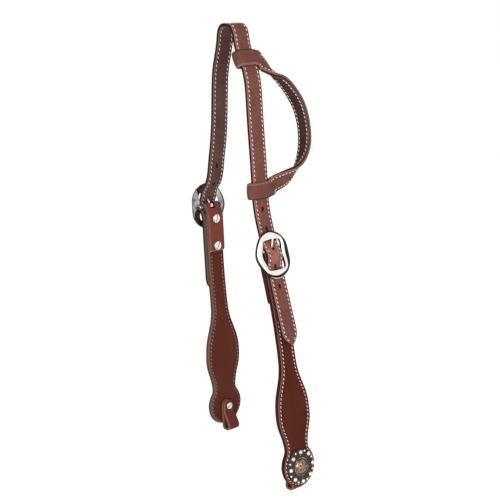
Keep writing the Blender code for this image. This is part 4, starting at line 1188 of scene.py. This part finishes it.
def rear_wrap(end):
    """Half a turn round the crown's rear edge, from its inner to its outer face."""
    turns = np.linspace(-np.pi / 2, np.pi / 2, WRAP_POINTS)
    directions = np.outer(-np.cos(turns), ACROSS) + np.outer(np.sin(turns), EAR.normals[end])
    points = EAR.points[end] - EAR_REAR * ACROSS + directions * EAR_LEAF
    return points, directions, np.tile(EAR.across[end], (WRAP_POINTS, 1))


def ear_run(numbers, face):
    """Part of the D's outer (1) or inner (-1) ply: points, normals and across directions."""
    offset = EAR.normals[numbers] * face
    return EAR.points[numbers] + offset * EAR.spread[numbers], offset, EAR.across[numbers]


def ear_sewn(numbers, start):
    """1 where the D is sewn, and 0 less than start from its ends."""
    return ease(EAR.from_end[numbers], start - 1 * MM, start + 1 * MM)


middle = np.arange(1, final)
runs = [ear_run(np.arange(leaf, 0, -1), -1), rear_wrap(0), ear_run(middle, 1),
        [part[::-1] for part in rear_wrap(-1)],
        ear_run(np.arange(final - 1, final - leaf - 1, -1), -1)]
points, normals, across = (np.vstack(part) for part in zip(*runs))
behind, wrapped, _, _, _ = (np.zeros(len(run[0])) for run in runs)
sewn = [behind, wrapped, ear_sewn(middle, OUTER_ROW_START), wrapped, behind]
domed = [behind, wrapped + 1, 1 - ease(EAR.from_end[middle], 9 * MM, 16 * MM), wrapped + 1, behind]
ear_outer = make_strap("ear_outer_ply", (points, across, normals), EAR_WIDTH / 2, -EAR_PLY / 2,
                       EAR_PLY / 2, sewn_high=np.concatenate(sewn), painted_shade_side=-1,
                       camber=np.concatenate(domed) * EAR_CAMBER)
dress(ear_outer, "ear_piece", TAWNY, "russet_leather", "ear_strap")
within = np.arange(leaf + 2, final - leaf - 1)
inside = (ear_run(within, -1)[0], EAR.across[within], EAR.normals[within])
ear_inner = make_strap("ear_inner_ply", inside, EAR_WIDTH / 2, -EAR_PLY / 2, EAR_PLY / 2,
                       sewn_low=ear_sewn(within, INNER_ROW_START), seam="high", painted_shade_side=-1)
dress(ear_inner, "ear_piece", DAMSON, "dark_leather", "ear_lining")

# %% Ear piece stitches
DOUBLED_STITCH = 3.8 * MM
DOUBLED_WIDTH = 1.5
DOUBLED_OUT = 1.5 * MM


def ear_line(face, edge, places):
    """Points and normals of a row on one face of the D, near one edge, at places along it."""
    raised = EAR.points + EAR.normals * face * (EAR.spread + EAR_PLY / 2 - ROW_SUNK)
    line = raised + EAR.across * edge * (EAR_WIDTH / 2 - ROW_INSET)
    along = lengths(EAR.points)
    return read_at(along, line, places), read_at(along, EAR.normals, places) * face


def ear_rows():
    """Two rows a face. On the outer face each begins and ends with a doubled stitch."""
    total = lengths(EAR.points)[-1]
    rows = []
    for face, start in ((1, OUTER_ROW_START), (-1, INNER_ROW_START)):
        places = row_places(start, total - start, CROWN_PITCH)
        rows += [(*ear_line(face, edge, places), CROWN_STITCH, FINE_THREAD) for edge in (1, -1)]
    start = OUTER_ROW_START - DOUBLED_OUT
    for edge in (1, -1):
        for end in (start, total - start):
            places = end + np.array([-0.2, 0.2]) * MM
            rows.append((*ear_line(1, edge, places), DOUBLED_STITCH, DOUBLED_WIDTH))
    return rows


dress(sew("ear_stitches", ear_rows()), "ear_piece", CREAM, "russet_leather")

# %% [markdown]
# ## The bit loops
#
# A short strip of leather is folded in half. Both ends lie under the concho's
# screw, and the fold hangs below the disc as an eye for the bit's ring.

# %% Bit loops
LOOP_PLY = 2.0 * MM
LOOP_WIDTH = 14.0 * MM
EYE_WIDTH = 7.0 * MM
EYE_FLAT = 3.0 * MM
LOOP_DROP = 4.5 * MM
LOOP_SPLIT = 5.0 * MM
LOOP_NOSE = 1.2 * MM
LOOP_NOSE_INSET = 0.3 * MM
FRONT_LEAF = LINING_FACE + GAP + LOOP_PLY / 2
REAR_LEAF = FRONT_LEAF + GAP + LOOP_PLY
LOOP_FACE = REAR_LEAF + LOOP_PLY / 2


def loop_path():
    """The strip's middle line as (down from the screw, inward) pairs: the front leaf, the round
    bottom, then the back leaf, which slants up to the front one and lies on it."""
    top = LOOP_NOSE_INSET - LOOP_WIDTH / 2
    far = FRONT_LEAF + EYE_WIDTH + LOOP_PLY
    corner = (far - FRONT_LEAF - EYE_FLAT) / 2
    shoulder = DISC_RADIUS + LOOP_DROP - LOOP_PLY / 2 - corner
    front = np.column_stack([np.linspace(top, shoulder, 60), np.full(60, FRONT_LEAF)])
    turn = np.linspace(0, np.pi / 2, 14)
    one = np.column_stack([shoulder + corner * np.sin(turn),
                           FRONT_LEAF + corner * (1 - np.cos(turn))])
    two = np.column_stack([shoulder + corner * np.cos(turn), far - corner * (1 - np.sin(turn))])
    t = np.linspace(0, 1, 60)
    slant = np.column_stack([shoulder + (LOOP_SPLIT - shoulder) * t, blend(t, far, REAR_LEAF)])
    leaf = np.column_stack([np.linspace(LOOP_SPLIT, top, 30), np.full(30, REAR_LEAF)])
    return np.vstack([front, one[1:], two, slant[1:], leaf[1:]])


for side in SIDES:
    point, outward, down = local_axes(side.cheek, DISC_CENTRE, side.sign)
    local = loop_path()
    path = point + np.outer(local[:, 0], down) - np.outer(local[:, 1], outward)
    total = lengths(path)[-1]
    nose = LOOP_WIDTH / 2
    rounds = nose * (1 - np.cos(np.radians(np.arange(6, 90, 6))))
    inside = stations(path, 0.8 * MM)
    inside = inside[(inside > nose) & (inside < total - nose)]
    places = np.concatenate([rounds, inside, total - rounds[::-1]])
    from_end = np.minimum(places, total - places)
    below_top = np.minimum(from_end + LOOP_NOSE_INSET - nose, 0)
    half = np.maximum(np.sqrt(nose**2 - below_top**2), LOOP_NOSE)
    loop = make_strap(f"{side.name}_bit_strap", path_frames(path, places), half, -LOOP_PLY / 2,
                      LOOP_PLY / 2)
    dress(loop, f"{side.name}_loop", LACE, "tan_leather", f"{side.name}_bit_loop")

# %% [markdown]
# ## Buckles
#
# The buckle is a cast oval plate with a square window and a bar across it. The
# plate is a grid over two angles: one goes round the oval, the other round the
# plate's section, which is domed on top and has a small rounded edge. The flat
# back follows a cosine, so that the plate arches over the strap.

# %% The plate's form
BUCKLE_WIDTH = 42.0 * MM
BUCKLE_HEIGHT = 47.0 * MM
WINDOW_WIDTH = 22.5 * MM
WINDOW_HEIGHT = 28.0 * MM
WINDOW_POWER = 8
PLATE_RIM = 1.6 * MM
PLATE_THICKNESS = 3.2 * MM
PLATE_TURNS = 220
DOMING = 0.55
SIDE_BACK = 1.8 * MM
EDGE_SHARE = 0.035
EDGE_HEIGHT = 0.28 * MM
WALL_HEIGHT = PLATE_RIM * 0.75
BACK_SHARES = (0.86, 0.78, 0.50, 0.14)
TOP_SHARES = np.linspace(0.0, 1.0, 41)


def plate_back(along):
    """Height of the plate's back: low beside the bar, high at the arms."""
    share = np.minimum(np.abs(along) / (WINDOW_HEIGHT / 2), 1)
    return SIDE_BACK + (ARM_BACK - SIDE_BACK) * (1 - np.cos(np.pi * share)) / 2


def plate_section():
    """(share from window to outline, height) round the plate: walls, a domed top, a flat back.

    The dome is the sine of half a turn from window to outline, to a power.
    """
    rise = np.sin(np.pi * np.clip(TOP_SHARES, 0.001, 0.999)) ** DOMING
    dome = PLATE_RIM + (PLATE_THICKNESS - PLATE_RIM) * rise
    share = np.concatenate([[EDGE_SHARE, 0, 0], EDGE_SHARE / 2 + (1 - EDGE_SHARE) * TOP_SHARES,
                            [1, 1, 1 - EDGE_SHARE], BACK_SHARES])
    height = np.concatenate([[0, EDGE_HEIGHT, WALL_HEIGHT], dome, [WALL_HEIGHT, EDGE_HEIGHT, 0],
                             np.zeros(len(BACK_SHARES))])
    return share, height


def buckle_plate(side):
    """A ring of sections: each runs from the window's edge to the oval on a ray from the middle.

    The window is a superellipse: |x / a|^p + |y / b|^p = 1.
    """
    turns = circle(PLATE_TURNS)
    outer = np.column_stack([BUCKLE_WIDTH / 2 * np.cos(turns), BUCKLE_HEIGHT / 2 * np.sin(turns)])
    rays = unit(outer)
    half_window = np.array([WINDOW_WIDTH, WINDOW_HEIGHT]) / 2
    reach = np.sum(np.abs(rays / half_window) ** WINDOW_POWER, axis=1) ** (-1 / WINDOW_POWER)
    inner = rays * reach[:, None]
    share, height = plate_section()
    flat = inner[:, None] + (outer - inner)[:, None] * share[None, :, None]
    raised = plate_back(flat[..., 1]) + height
    world = side.bar + flat[..., 1:2] * side.up + raised[..., None] * side.out
    return np.concatenate([flat[..., :1], world], axis=-1)


# %% [markdown]
# A mirror shows the room around it, and this room is all white. So the dark
# band that a polished buckle shows is a painted reflection, given as a number
# on its points, from tables over the angle round the oval.

# %% The room in the plate
SHADE_WIDTH_SHARES = ((0, 0.62), (45, 0.50), (90, 0.18), (135, 0.10), (180, 0.10), (210, 0.20),
                      (235, 0.30), (270, 0.36), (315, 0.54), (360, 0.62))
GLEAM_SHARES = ((0, 0), (235, 0), (255, 1), (290, 1), (310, 0), (360, 0))
BACK_SHADE_SHARES = ((0, 0.62), (50, 0.42), (90, 0.50), (180, 0.58), (270, 0.70), (320, 0.85),
                     (360, 0.62))
WALL_SHADE = 0.2
EDGE_SHADES = (0.95, 0.9)


def plate_shade():
    """How dark each point is: a band inside the outline, whose width follows the angle.

    It is a painted reflection, darkest towards the floor, where a painted highlight runs along
    the very edge, and with a painted dark line round the window. The back is dull by a table of
    its own, and has a dark outline on its front half (+X).
    """
    turns = circle(PLATE_TURNS)
    width, gleam, back = (
        np.interp(np.degrees(turns)[:, None], *np.array(table, dtype=float).T)
        for table in (SHADE_WIDTH_SHARES, GLEAM_SHARES, BACK_SHADE_SHARES))
    lit = gleam * ease(TOP_SHARES, 0.90, 0.95)
    band = ease(TOP_SHARES - (1 - width), -0.03, 0.03) * (1 - lit)
    window_line = 1 - ease(TOP_SHARES, 0.07, 0.13)
    face = np.maximum(band, window_line)
    front = ease(np.cos(turns), -0.2, 0.6)[:, None]
    outline = back + (1 - back) * front
    walls = np.full((PLATE_TURNS, 2), WALL_SHADE)
    edges = np.tile(EDGE_SHADES, (PLATE_TURNS, 1))
    return np.hstack([back, walls, face, edges, outline, outline, back, back, back])


# %% Buckle frames
BOSS_WIDTH = 3.4 * MM
BOSS_INSET = 0.2 * MM
# Painted reflection on the bar: its bosses are darker than the bar between them.
BOSS_SHADE = 0.6
BAR_SHADE = 0.1
TIP = 0.0001 * MM
BAR_AXES = np.array([[0, 0, 1.0], [0, -1.0, 0], [1.0, 0, 0]])


def buckle_bar(side):
    """The bar with a rounded boss at each end: half a profile, and its mirror image."""
    inside = WINDOW_WIDTH / 2 + BOSS_INSET
    half = inside + BOSS_WIDTH
    boss = SIDE_BACK + PLATE_RIM / 2
    end = np.array([(TIP, -half), (boss * 0.8, -half), (boss, -half + 0.5 * MM),
                    (boss, -inside - 0.3 * MM), (boss - 0.4 * MM, -inside),
                    (BAR_RADIUS, -inside + 0.1 * MM)])
    profile = np.vstack([end, end[::-1] * (1, -1)])
    return turned(profile, in_space(side.bar), BAR_AXES)


for side in SIDES:
    plate, shade = (np.concatenate([part, part[:1]])
                    for part in (buckle_plate(side), plate_shade()))
    bar = buckle_bar(side)
    bar_shade = np.full(bar.shape[:2], BOSS_SHADE)
    bar_shade[5:-5] = BAR_SHADE
    buckle = make_mesh(f"{side.name}_buckle_plate", [plate, bar], sharp=40.0,
                       flank=np.concatenate([shade.ravel(), bar_shade.ravel()]))
    dress(buckle, "crown", CHROME, "polished_metal", f"{side.name}_buckle_frame")

# %% [markdown]
# The tongue is a ring on the bar with a round rod, which goes out through the
# crown's hole and rests on the upper arm. Its tip is bent over a little.

# %% Buckle tongues
TONGUE_RADIUS = 1.0 * MM
TONGUE_BEND = 18.2 * MM
TONGUE_REACH = 21.0 * MM
TONGUE_TIP_DROP = 1.2 * MM
ROUNDED_FROM = 0.62
RING_WALL = 1.4 * MM
RING_WIDTH = 3.4 * MM


def tongue_rod(side):
    """Rings of a circle along a straight line whose last part droops with the distance squared."""
    angle = np.radians(TONGUE_ANGLE)
    ray = np.array([np.cos(angle), np.sin(angle)])
    lift = np.array([-ray[1], ray[0]])
    root = BAR_RADIUS + GAP + RING_WALL / 2
    reach = np.concatenate([np.linspace(root, TONGUE_BEND, 8)[:-1],
                            np.linspace(TONGUE_BEND, TONGUE_REACH, 14)])
    past = np.clip((reach - TONGUE_BEND) / (TONGUE_REACH - TONGUE_BEND), 0, 1)
    middles = np.outer(reach, ray) - np.outer(past**2 * TONGUE_TIP_DROP, lift)
    end = np.clip((past - ROUNDED_FROM) / (1 - ROUNDED_FROM), 0, 1)
    radii = TONGUE_RADIUS * np.sqrt(np.maximum(1 - end**2, 0.002))[:, None]
    turns = circle(20)
    beside = left_normals(middles)
    flat = middles[:, None] + beside[:, None] * (radii * np.sin(turns))[..., None]
    world = side.bar + flat[..., 0:1] * side.up + flat[..., 1:2] * side.out
    return np.concatenate([(radii * np.cos(turns))[..., None], world], axis=-1)


def tongue_ring(side):
    """A turned ring with a rounded section, closed onto itself: a superellipse of power 4."""
    turns = np.linspace(0, 2 * np.pi, 29)
    bulge = np.sign(np.cos(turns)) * np.abs(np.cos(turns)) ** 0.5
    width = np.sign(np.sin(turns)) * np.abs(np.sin(turns)) ** 0.5
    middle = BAR_RADIUS + GAP + RING_WALL / 2
    profile = np.column_stack([middle + RING_WALL / 2 * bulge, RING_WIDTH / 2 * width])
    return turned(profile, in_space(side.bar), BAR_AXES)


for side in SIDES:
    for part, grid, nodes in (("rod", tongue_rod(side), [f"{side.name}_buckle_tongue"]),
                              ("ring", tongue_ring(side), [])):
        piece = make_mesh(f"{side.name}_tongue_{part}", [grid], cap=part == "rod",
                          flank=np.zeros(grid.shape[:2]))
        dress(piece, f"{side.name}_tongue", CHROME, "polished_metal", *nodes)

# %% [markdown]
# ## Screws and posts
#
# The fold is held by two tubular posts, put in from outside, and two slotted
# screws from inside. Their heads are turned profiles with a soft edge, and the
# slot for the driver is cut with a thin box.

# %% Screws and posts
SCREW_HEAD_RADIUS = 4.3 * MM
SCREW_HEAD_THICKNESS = 1.4 * MM
SCREW_EDGE = 0.28 * MM
CONCHO_SCREW_RADIUS = 3.5 * MM
SHANK_RADIUS = 1.2 * MM
SHANK_LENGTH = 4.6 * MM
BARREL_RADIUS = 2.0 * MM
DRIVER_SLOT_WIDTH = 0.9 * MM
DRIVER_SLOT_DEPTH = 0.6 * MM
POST_HEAD_THICKNESS = 0.8 * MM
POST_EDGE = 0.25 * MM
SCREW_SIDES = 64


def screw_profile(radius):
    """Shank, flat underside, rounded rim and a low dome, whose height is a cosine to a power."""
    turns = np.radians([-60, -30, 0, 25, 50, 70])
    edge = np.column_stack([radius - SCREW_EDGE + SCREW_EDGE * np.cos(turns),
                            SCREW_EDGE + SCREW_EDGE * np.sin(turns)])
    share = np.linspace(edge[-1, 0] / radius, 0.0, 14)[1:-1]
    top = edge[-1, 1] + (SCREW_HEAD_THICKNESS - edge[-1, 1]) * np.cos(share * np.pi / 2) ** 0.8
    shank = [(TIP, -SHANK_LENGTH), (SHANK_RADIUS, -SHANK_LENGTH), (SHANK_RADIUS, 0)]
    dome = np.column_stack([share * radius, top])
    return np.vstack([shank, edge, dome, [(TIP, SCREW_HEAD_THICKNESS)]])


def driver_slot(radius, turn):
    """A thin rectangle across a screw's head, turned by an angle."""
    reach = radius + 1 * MM
    half = DRIVER_SLOT_WIDTH / 2
    corners = np.array([(-reach, -half), (-reach, half), (reach, half), (reach, -half)])
    c, s = np.cos(np.radians(turn)), np.sin(np.radians(turn))
    return corners @ np.array([[c, s], [-s, c]])


def make_screw(name, radius, turn, point, outward, body, node):
    """A slotted screw whose head lies on a point and looks inward."""
    seat = in_space(point)
    axes = face_axes(-outward)
    profile = screw_profile(radius)
    # Painted shade on the head's low rim and on the shank.
    flank = 1 - ease(profile[:, 1], 0.25 * MM, 0.6 * MM)
    screw = make_mesh(name, [turned(profile, seat, axes, SCREW_SIDES)], sharp=45.0,
                      flank=np.repeat(flank, SCREW_SIDES))
    slot = prism(seat, axes, driver_slot(radius, turn), SCREW_HEAD_THICKNESS - DRIVER_SLOT_DEPTH,
                 SCREW_HEAD_THICKNESS + 1 * MM)
    dress(cut(screw, make_mesh("slot_cutter", [slot])), body, NICKEL, "nickel_screws", node)


def post_profile():
    """The barrel behind the leather and the head in its counterbore, with softened edges."""
    under = CHEEK_PLY / 2 - COUNTERBORE_DEPTH + GAP
    top = under + POST_HEAD_THICKNESS
    return [(TIP, GAP - FOLD_FACE), (BARREL_RADIUS, GAP - FOLD_FACE), (BARREL_RADIUS, under),
            (POST_HEAD_RADIUS - POST_EDGE, under), (POST_HEAD_RADIUS, under + POST_EDGE),
            (POST_HEAD_RADIUS, top - POST_EDGE), (POST_HEAD_RADIUS - POST_EDGE, top),
            (POST_HEAD_RADIUS * 0.5, top), (TIP, top)]


for side in SIDES:
    for level, place, turn in (("upper", UPPER_POST, 80.0), ("lower", LOWER_POST, 62.0)):
        point, outward, _ = local_axes(side.cheek, place, side.sign)
        make_screw(f"{side.name}_{level}_fold_screw", SCREW_HEAD_RADIUS, turn,
                   point - outward * (FOLD_FACE + GAP), outward, f"{side.name}_cheek",
                   f"{side.name}_{level}_screw")
        post = turned(post_profile(), in_space(point), face_axes(outward), SCREW_SIDES)
        piece = make_mesh(f"{side.name}_{level}_fold_post", [post], sharp=45.0,
                          flank=np.zeros(post.shape[:2]))
        dress(piece, f"{side.name}_cheek", NICKEL, "nickel_screws", f"{side.name}_{level}_post")

# %% [markdown]
# ## Conchos
#
# A concho is a cast ornament. Its disc is a height over a polar grid: a turned
# profile plus a relief that repeats with the angle, so the petals are cosines
# of 8 times the angle and the rays of 24 times. Eight large and eight small
# berries sit on the rim, and a copper dome with a plain flower is set in the
# middle. Points carry `high`, which tells the metal where it was rubbed.

# %% The concho's disc
CONCHO_RADIUS = 17.0 * MM
CONCHO_RIM = 1.2 * MM
CONCHO_THICKNESS = 2.2 * MM
CONCHO_EDGE = 0.3 * MM
DOME_RADIUS = 7.4 * MM
DOME_SEAT = 0.8 * MM
COLLAR = 0.9 * MM
RELIEF = 0.9 * MM
RELIEF_SUNK = 0.25 * MM
SCALLOP = 0.22 * MM
RIM_WORN = 0.45
BALL_PAIRS = 8
POLAR = 192
POLE = 0.001 * MM
POLAR_TURNS = circle(POLAR)


def hump(share, start, span):
    """Half a sine wave from start over a span, and 0 past it, as a column."""
    return np.sin(np.pi * np.clip((share - start) / span, 0, 1))[:, None]


def concho_disc(origin, axes):
    """Top from the middle out, then the rim and the back, with its relief between dome and rim."""
    seat = DOME_RADIUS + GAP
    field = np.linspace(seat + COLLAR, CONCHO_RADIUS - CONCHO_EDGE, 44)
    slope = np.interp(field, [seat, (CONCHO_RADIUS + seat) / 2, CONCHO_RADIUS],
                      [CONCHO_THICKNESS, CONCHO_THICKNESS, CONCHO_RIM])
    share = (field - field[0]) / (field[-1] - field[0])
    petals = np.cos(BALL_PAIRS * POLAR_TURNS) * hump(share, 0.0, 0.62)
    rays = np.cos(3 * BALL_PAIRS * POLAR_TURNS) * hump(share, 0.1, 0.6)
    rope = bell(share, 0.0, 0.06)[:, None] * (0.55 + 0.2 * np.cos(5 * BALL_PAIRS * POLAR_TURNS))
    raised = 0.30 * petals + 0.16 * rays + rope
    height = slope[:, None] + raised * RELIEF - RELIEF_SUNK
    floor = CONCHO_THICKNESS - DOME_SEAT
    inner_r, inner_h = np.array([(POLE, floor), (4 * MM, floor), (seat, floor),
                                 (seat, CONCHO_THICKNESS - 0.1 * MM)]).T
    back = -LOOP_FACE - CHEEK_PLY / 2
    outer_r, outer_h = np.array([(CONCHO_RADIUS, CONCHO_RIM - CONCHO_EDGE),
                                 (CONCHO_RADIUS, CONCHO_EDGE), (CONCHO_RADIUS - CONCHO_EDGE, 0.0),
                                 (BARREL_RADIUS, 0.0), (BARREL_RADIUS, back), (POLE, back)]).T
    radius = np.tile(np.concatenate([inner_r, field, outer_r])[:, None], POLAR)
    rim = len(inner_r) + len(field)
    radius[rim:rim + 3] += SCALLOP * np.abs(np.cos(BALL_PAIRS * POLAR_TURNS)) - SCALLOP
    tall = np.vstack([np.tile(inner_h[:, None], POLAR), height, np.tile(outer_h[:, None], POLAR)])
    worn = np.vstack([np.zeros((len(inner_r), POLAR)), np.clip(raised * 1.1, 0, 1),
                      np.full((len(outer_r), POLAR), RIM_WORN)])
    return turned_grid(radius, tall, origin, axes, POLAR), worn


# %% Berries and dome
BIG_BALL_RADIUS = 2.2 * MM
SMALL_BALL_RADIUS = 1.2 * MM
BALL_SIDES = 20
DOME_HEIGHT = 3.4 * MM
DOME_RELIEF = 0.30 * MM


def ball(radius, centre):
    """A sphere: the sine and cosine of the angle from its axis give radius and height."""
    turns = np.linspace(0.02, np.pi - 0.02, 14)
    profile = np.column_stack([radius * np.sin(turns), -radius * np.cos(turns)])
    return turned(profile, centre, np.eye(3), BALL_SIDES)


def concho_berries(origin, axes):
    """Large and small balls in turn, equal angles apart, just inside the rim."""
    first, second, axis = axes
    balls = []
    for i in range(BALL_PAIRS):
        for radius, turn in ((BIG_BALL_RADIUS, i), (SMALL_BALL_RADIUS, i + 0.5)):
            angle = 2 * np.pi * turn / BALL_PAIRS
            reach = CONCHO_RADIUS - radius - GAP
            place = origin + reach * (np.cos(angle) * first + np.sin(angle) * second)
            balls.append(ball(radius, place + axis * (CONCHO_RIM + radius / 2)))
    return balls


def concho_dome(origin, axes):
    """A low dome, (1 - share^2.2)^0.62 high, with a flower of six petals, its middle and veins."""
    share = np.linspace(0.001, 1.0, 48)
    curve = DOME_HEIGHT * np.maximum(1 - share**2.2, 0) ** 0.62
    flower = np.cos(6 * POLAR_TURNS) * bell(share, 0.45, 0.16)[:, None]
    centre = bell(share, 0.0, 0.16)[:, None] * np.ones(POLAR)
    veins = np.cos(30 * POLAR_TURNS) * bell(share, 0.72, 0.12)[:, None]
    raised = 0.5 * flower + 0.5 * centre + 0.25 * veins
    floor = CONCHO_THICKNESS - DOME_SEAT + GAP
    fading = ease(1 - share, 0.0, 0.2)[:, None]
    height = floor + curve[:, None] * 0.93 + raised * DOME_RELIEF * fading
    radius = np.vstack([np.tile(share[:, None] * DOME_RADIUS, POLAR),
                        np.full(POLAR, DOME_RADIUS * 0.98), np.full(POLAR, POLE)])
    height = np.vstack([height, np.full((2, POLAR), floor)])
    worn = np.vstack([np.clip(0.62 + raised * 0.9, 0, 1), np.zeros((2, POLAR))])
    return turned_grid(radius, height, origin, axes, POLAR), worn


# %% Conchos
for side in SIDES:
    point, outward, _ = local_axes(side.cheek, DISC_CENTRE, side.sign)
    origin = in_space(point + outward * (CHEEK_PLY / 2 + GAP))
    axes = face_axes(outward)
    body = f"{side.name}_concho_group"
    disc, worn = concho_disc(origin, axes)
    piece = make_mesh(f"{side.name}_concho_disc", [disc], sharp=60.0, high=worn)
    dress(piece, body, SILVER, "antique_silver", f"{side.name}_concho")
    balls = concho_berries(origin, axes)
    berries = make_mesh(f"{side.name}_concho_berries", balls,
                        high=np.ones(sum(grid.shape[0] * grid.shape[1] for grid in balls)))
    dress(berries, body, SILVER, "antique_silver")
    dome, worn = concho_dome(origin, axes)
    piece = make_mesh(f"{side.name}_copper_dome", [dome], sharp=60.0, high=worn)
    dress(piece, body, COPPER, "copper_dome", f"{side.name}_concho_dome")
    make_screw(f"{side.name}_concho_back_screw", CONCHO_SCREW_RADIUS, 35.0,
               point - outward * (LOOP_FACE + GAP), outward, body, f"{side.name}_concho_screw")

# %% [markdown]
# ## Camera, floor and light
#
# The camera looks from the front right and a little down. Its lens comes from
# the size of a pixel at the object: 0.98 mm at 1.1 m. The light is soft and
# even, and the pale floor lies below the hanging headstall.

# %% Camera
CAMERA_TURN = np.radians(42.0)
CAMERA_TILT = np.radians(14.0)
CAMERA_DISTANCE = 1.1
PIXEL = 0.98 * MM
PICTURE_PIXELS = 500
TARGET = np.array([0.0, -0.0248205744, -0.2139])
SENSOR = 36.0
CLIP_END = 200.0

ahead = np.array([np.sin(CAMERA_TURN) * np.cos(CAMERA_TILT),
                  np.cos(CAMERA_TURN) * np.cos(CAMERA_TILT), -np.sin(CAMERA_TILT)])
lens = bpy.data.cameras.new("camera")
lens.sensor_width = SENSOR
lens.lens = SENSOR * CAMERA_DISTANCE / PIXEL / PICTURE_PIXELS
lens.clip_end = CLIP_END
camera = show("camera", lens)
camera.location = TARGET - ahead * CAMERA_DISTANCE
camera.rotation_euler = (np.pi / 2 - CAMERA_TILT, 0.0, -CAMERA_TURN)
bpy.context.scene.camera = camera
print("lens", round(lens.lens, 2), "mm")

# %% [markdown]
# Floor and sky look white to the camera and in mirrors. A small share of the
# floor stays matt there, which keeps a faint shadow. To all other rays the
# floor is only a matt grey, and the sky is half as bright, so that the lamps
# shape the object.

# %% Floor and sky
FLOOR_HALF = 60.0
FLOOR_DROP = 0.22
FLOOR_GREY = (0.86, 0.86, 0.86)
FLOOR_GLOW = 1.12
GLOW_SHARE = 0.86
WHITE = (1.0, 1.0, 1.0)

pale = new_material("pale_floor")
glow = pale.rays("Is Camera Ray", "Is Glossy Ray") * GLOW_SHARE
matt = pale.add("ShaderNodeBsdfDiffuse", {}, {"Color": FLOOR_GREY}, "BSDF")
white = pale.add("ShaderNodeEmission", {}, {"Color": WHITE, "Strength": FLOOR_GLOW}, "Emission")
pale.show_surface(pale.add("ShaderNodeMixShader", {}, {0: glow, 1: matt, 2: white}, "Shader"))
level = CAD_BOX[0][2] - FLOOR_DROP
corners = [(FLOOR_HALF * x, FLOOR_HALF * y, level) for x, y in ((-1, -1), (1, -1), (1, 1), (-1, 1))]
floor = show("floor", smooth_mesh("floor", corners, [(0, 1, 2, 3)]))
floor.data.materials.append(pale.holder)
floor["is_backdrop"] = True

world = bpy.data.worlds.new("studio")
bpy.context.scene.world = world
sky = Recipe(world)
seen = sky.rays("Is Camera Ray", "Is Glossy Ray", "Is Transmission Ray")
light = sky.add("ShaderNodeBackground", {}, {"Color": WHITE, "Strength": seen * 0.5 + 0.5})
sky.show_surface(light, "ShaderNodeOutputWorld")
print("floor at", round(level, 3), "m")

# %% Lamps
LAMPS = (("key", (-1.2, -0.9, 0.2), 15.0, 0.8), ("fill", (-0.1, -1.6, 0.1), 9.0, 1.2),
         ("top", (0.3, 0.4, 1.4), 0.8, 0.9), ("rear", (1.1, 1.3, 0.1), 9.0, 1.0))


def soft_light(name, place, power, size):
    """A square lamp that faces the middle of the headstall."""
    data = bpy.data.lights.new(name, "AREA")
    data.energy = power
    data.size = size
    lamp = show(name, data)
    lamp.location = place
    x, y, z = TARGET - np.array(place)
    lamp.rotation_euler = (np.pi / 2 + np.arctan2(z, np.hypot(x, y)), 0.0, -np.arctan2(x, y))


for lamp in LAMPS:
    soft_light(*lamp)
bpy.context.scene.view_settings.view_transform = "Standard"
print(len(LAMPS), "lamps")

# %% Size of the dressed scene
VISUAL_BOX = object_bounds()
for axis_name, low, high in zip("xyz", VISUAL_BOX[0], VISUAL_BOX[1]):
    print(axis_name, round(low / MM, 1), "to", round(high / MM, 1), "mm")
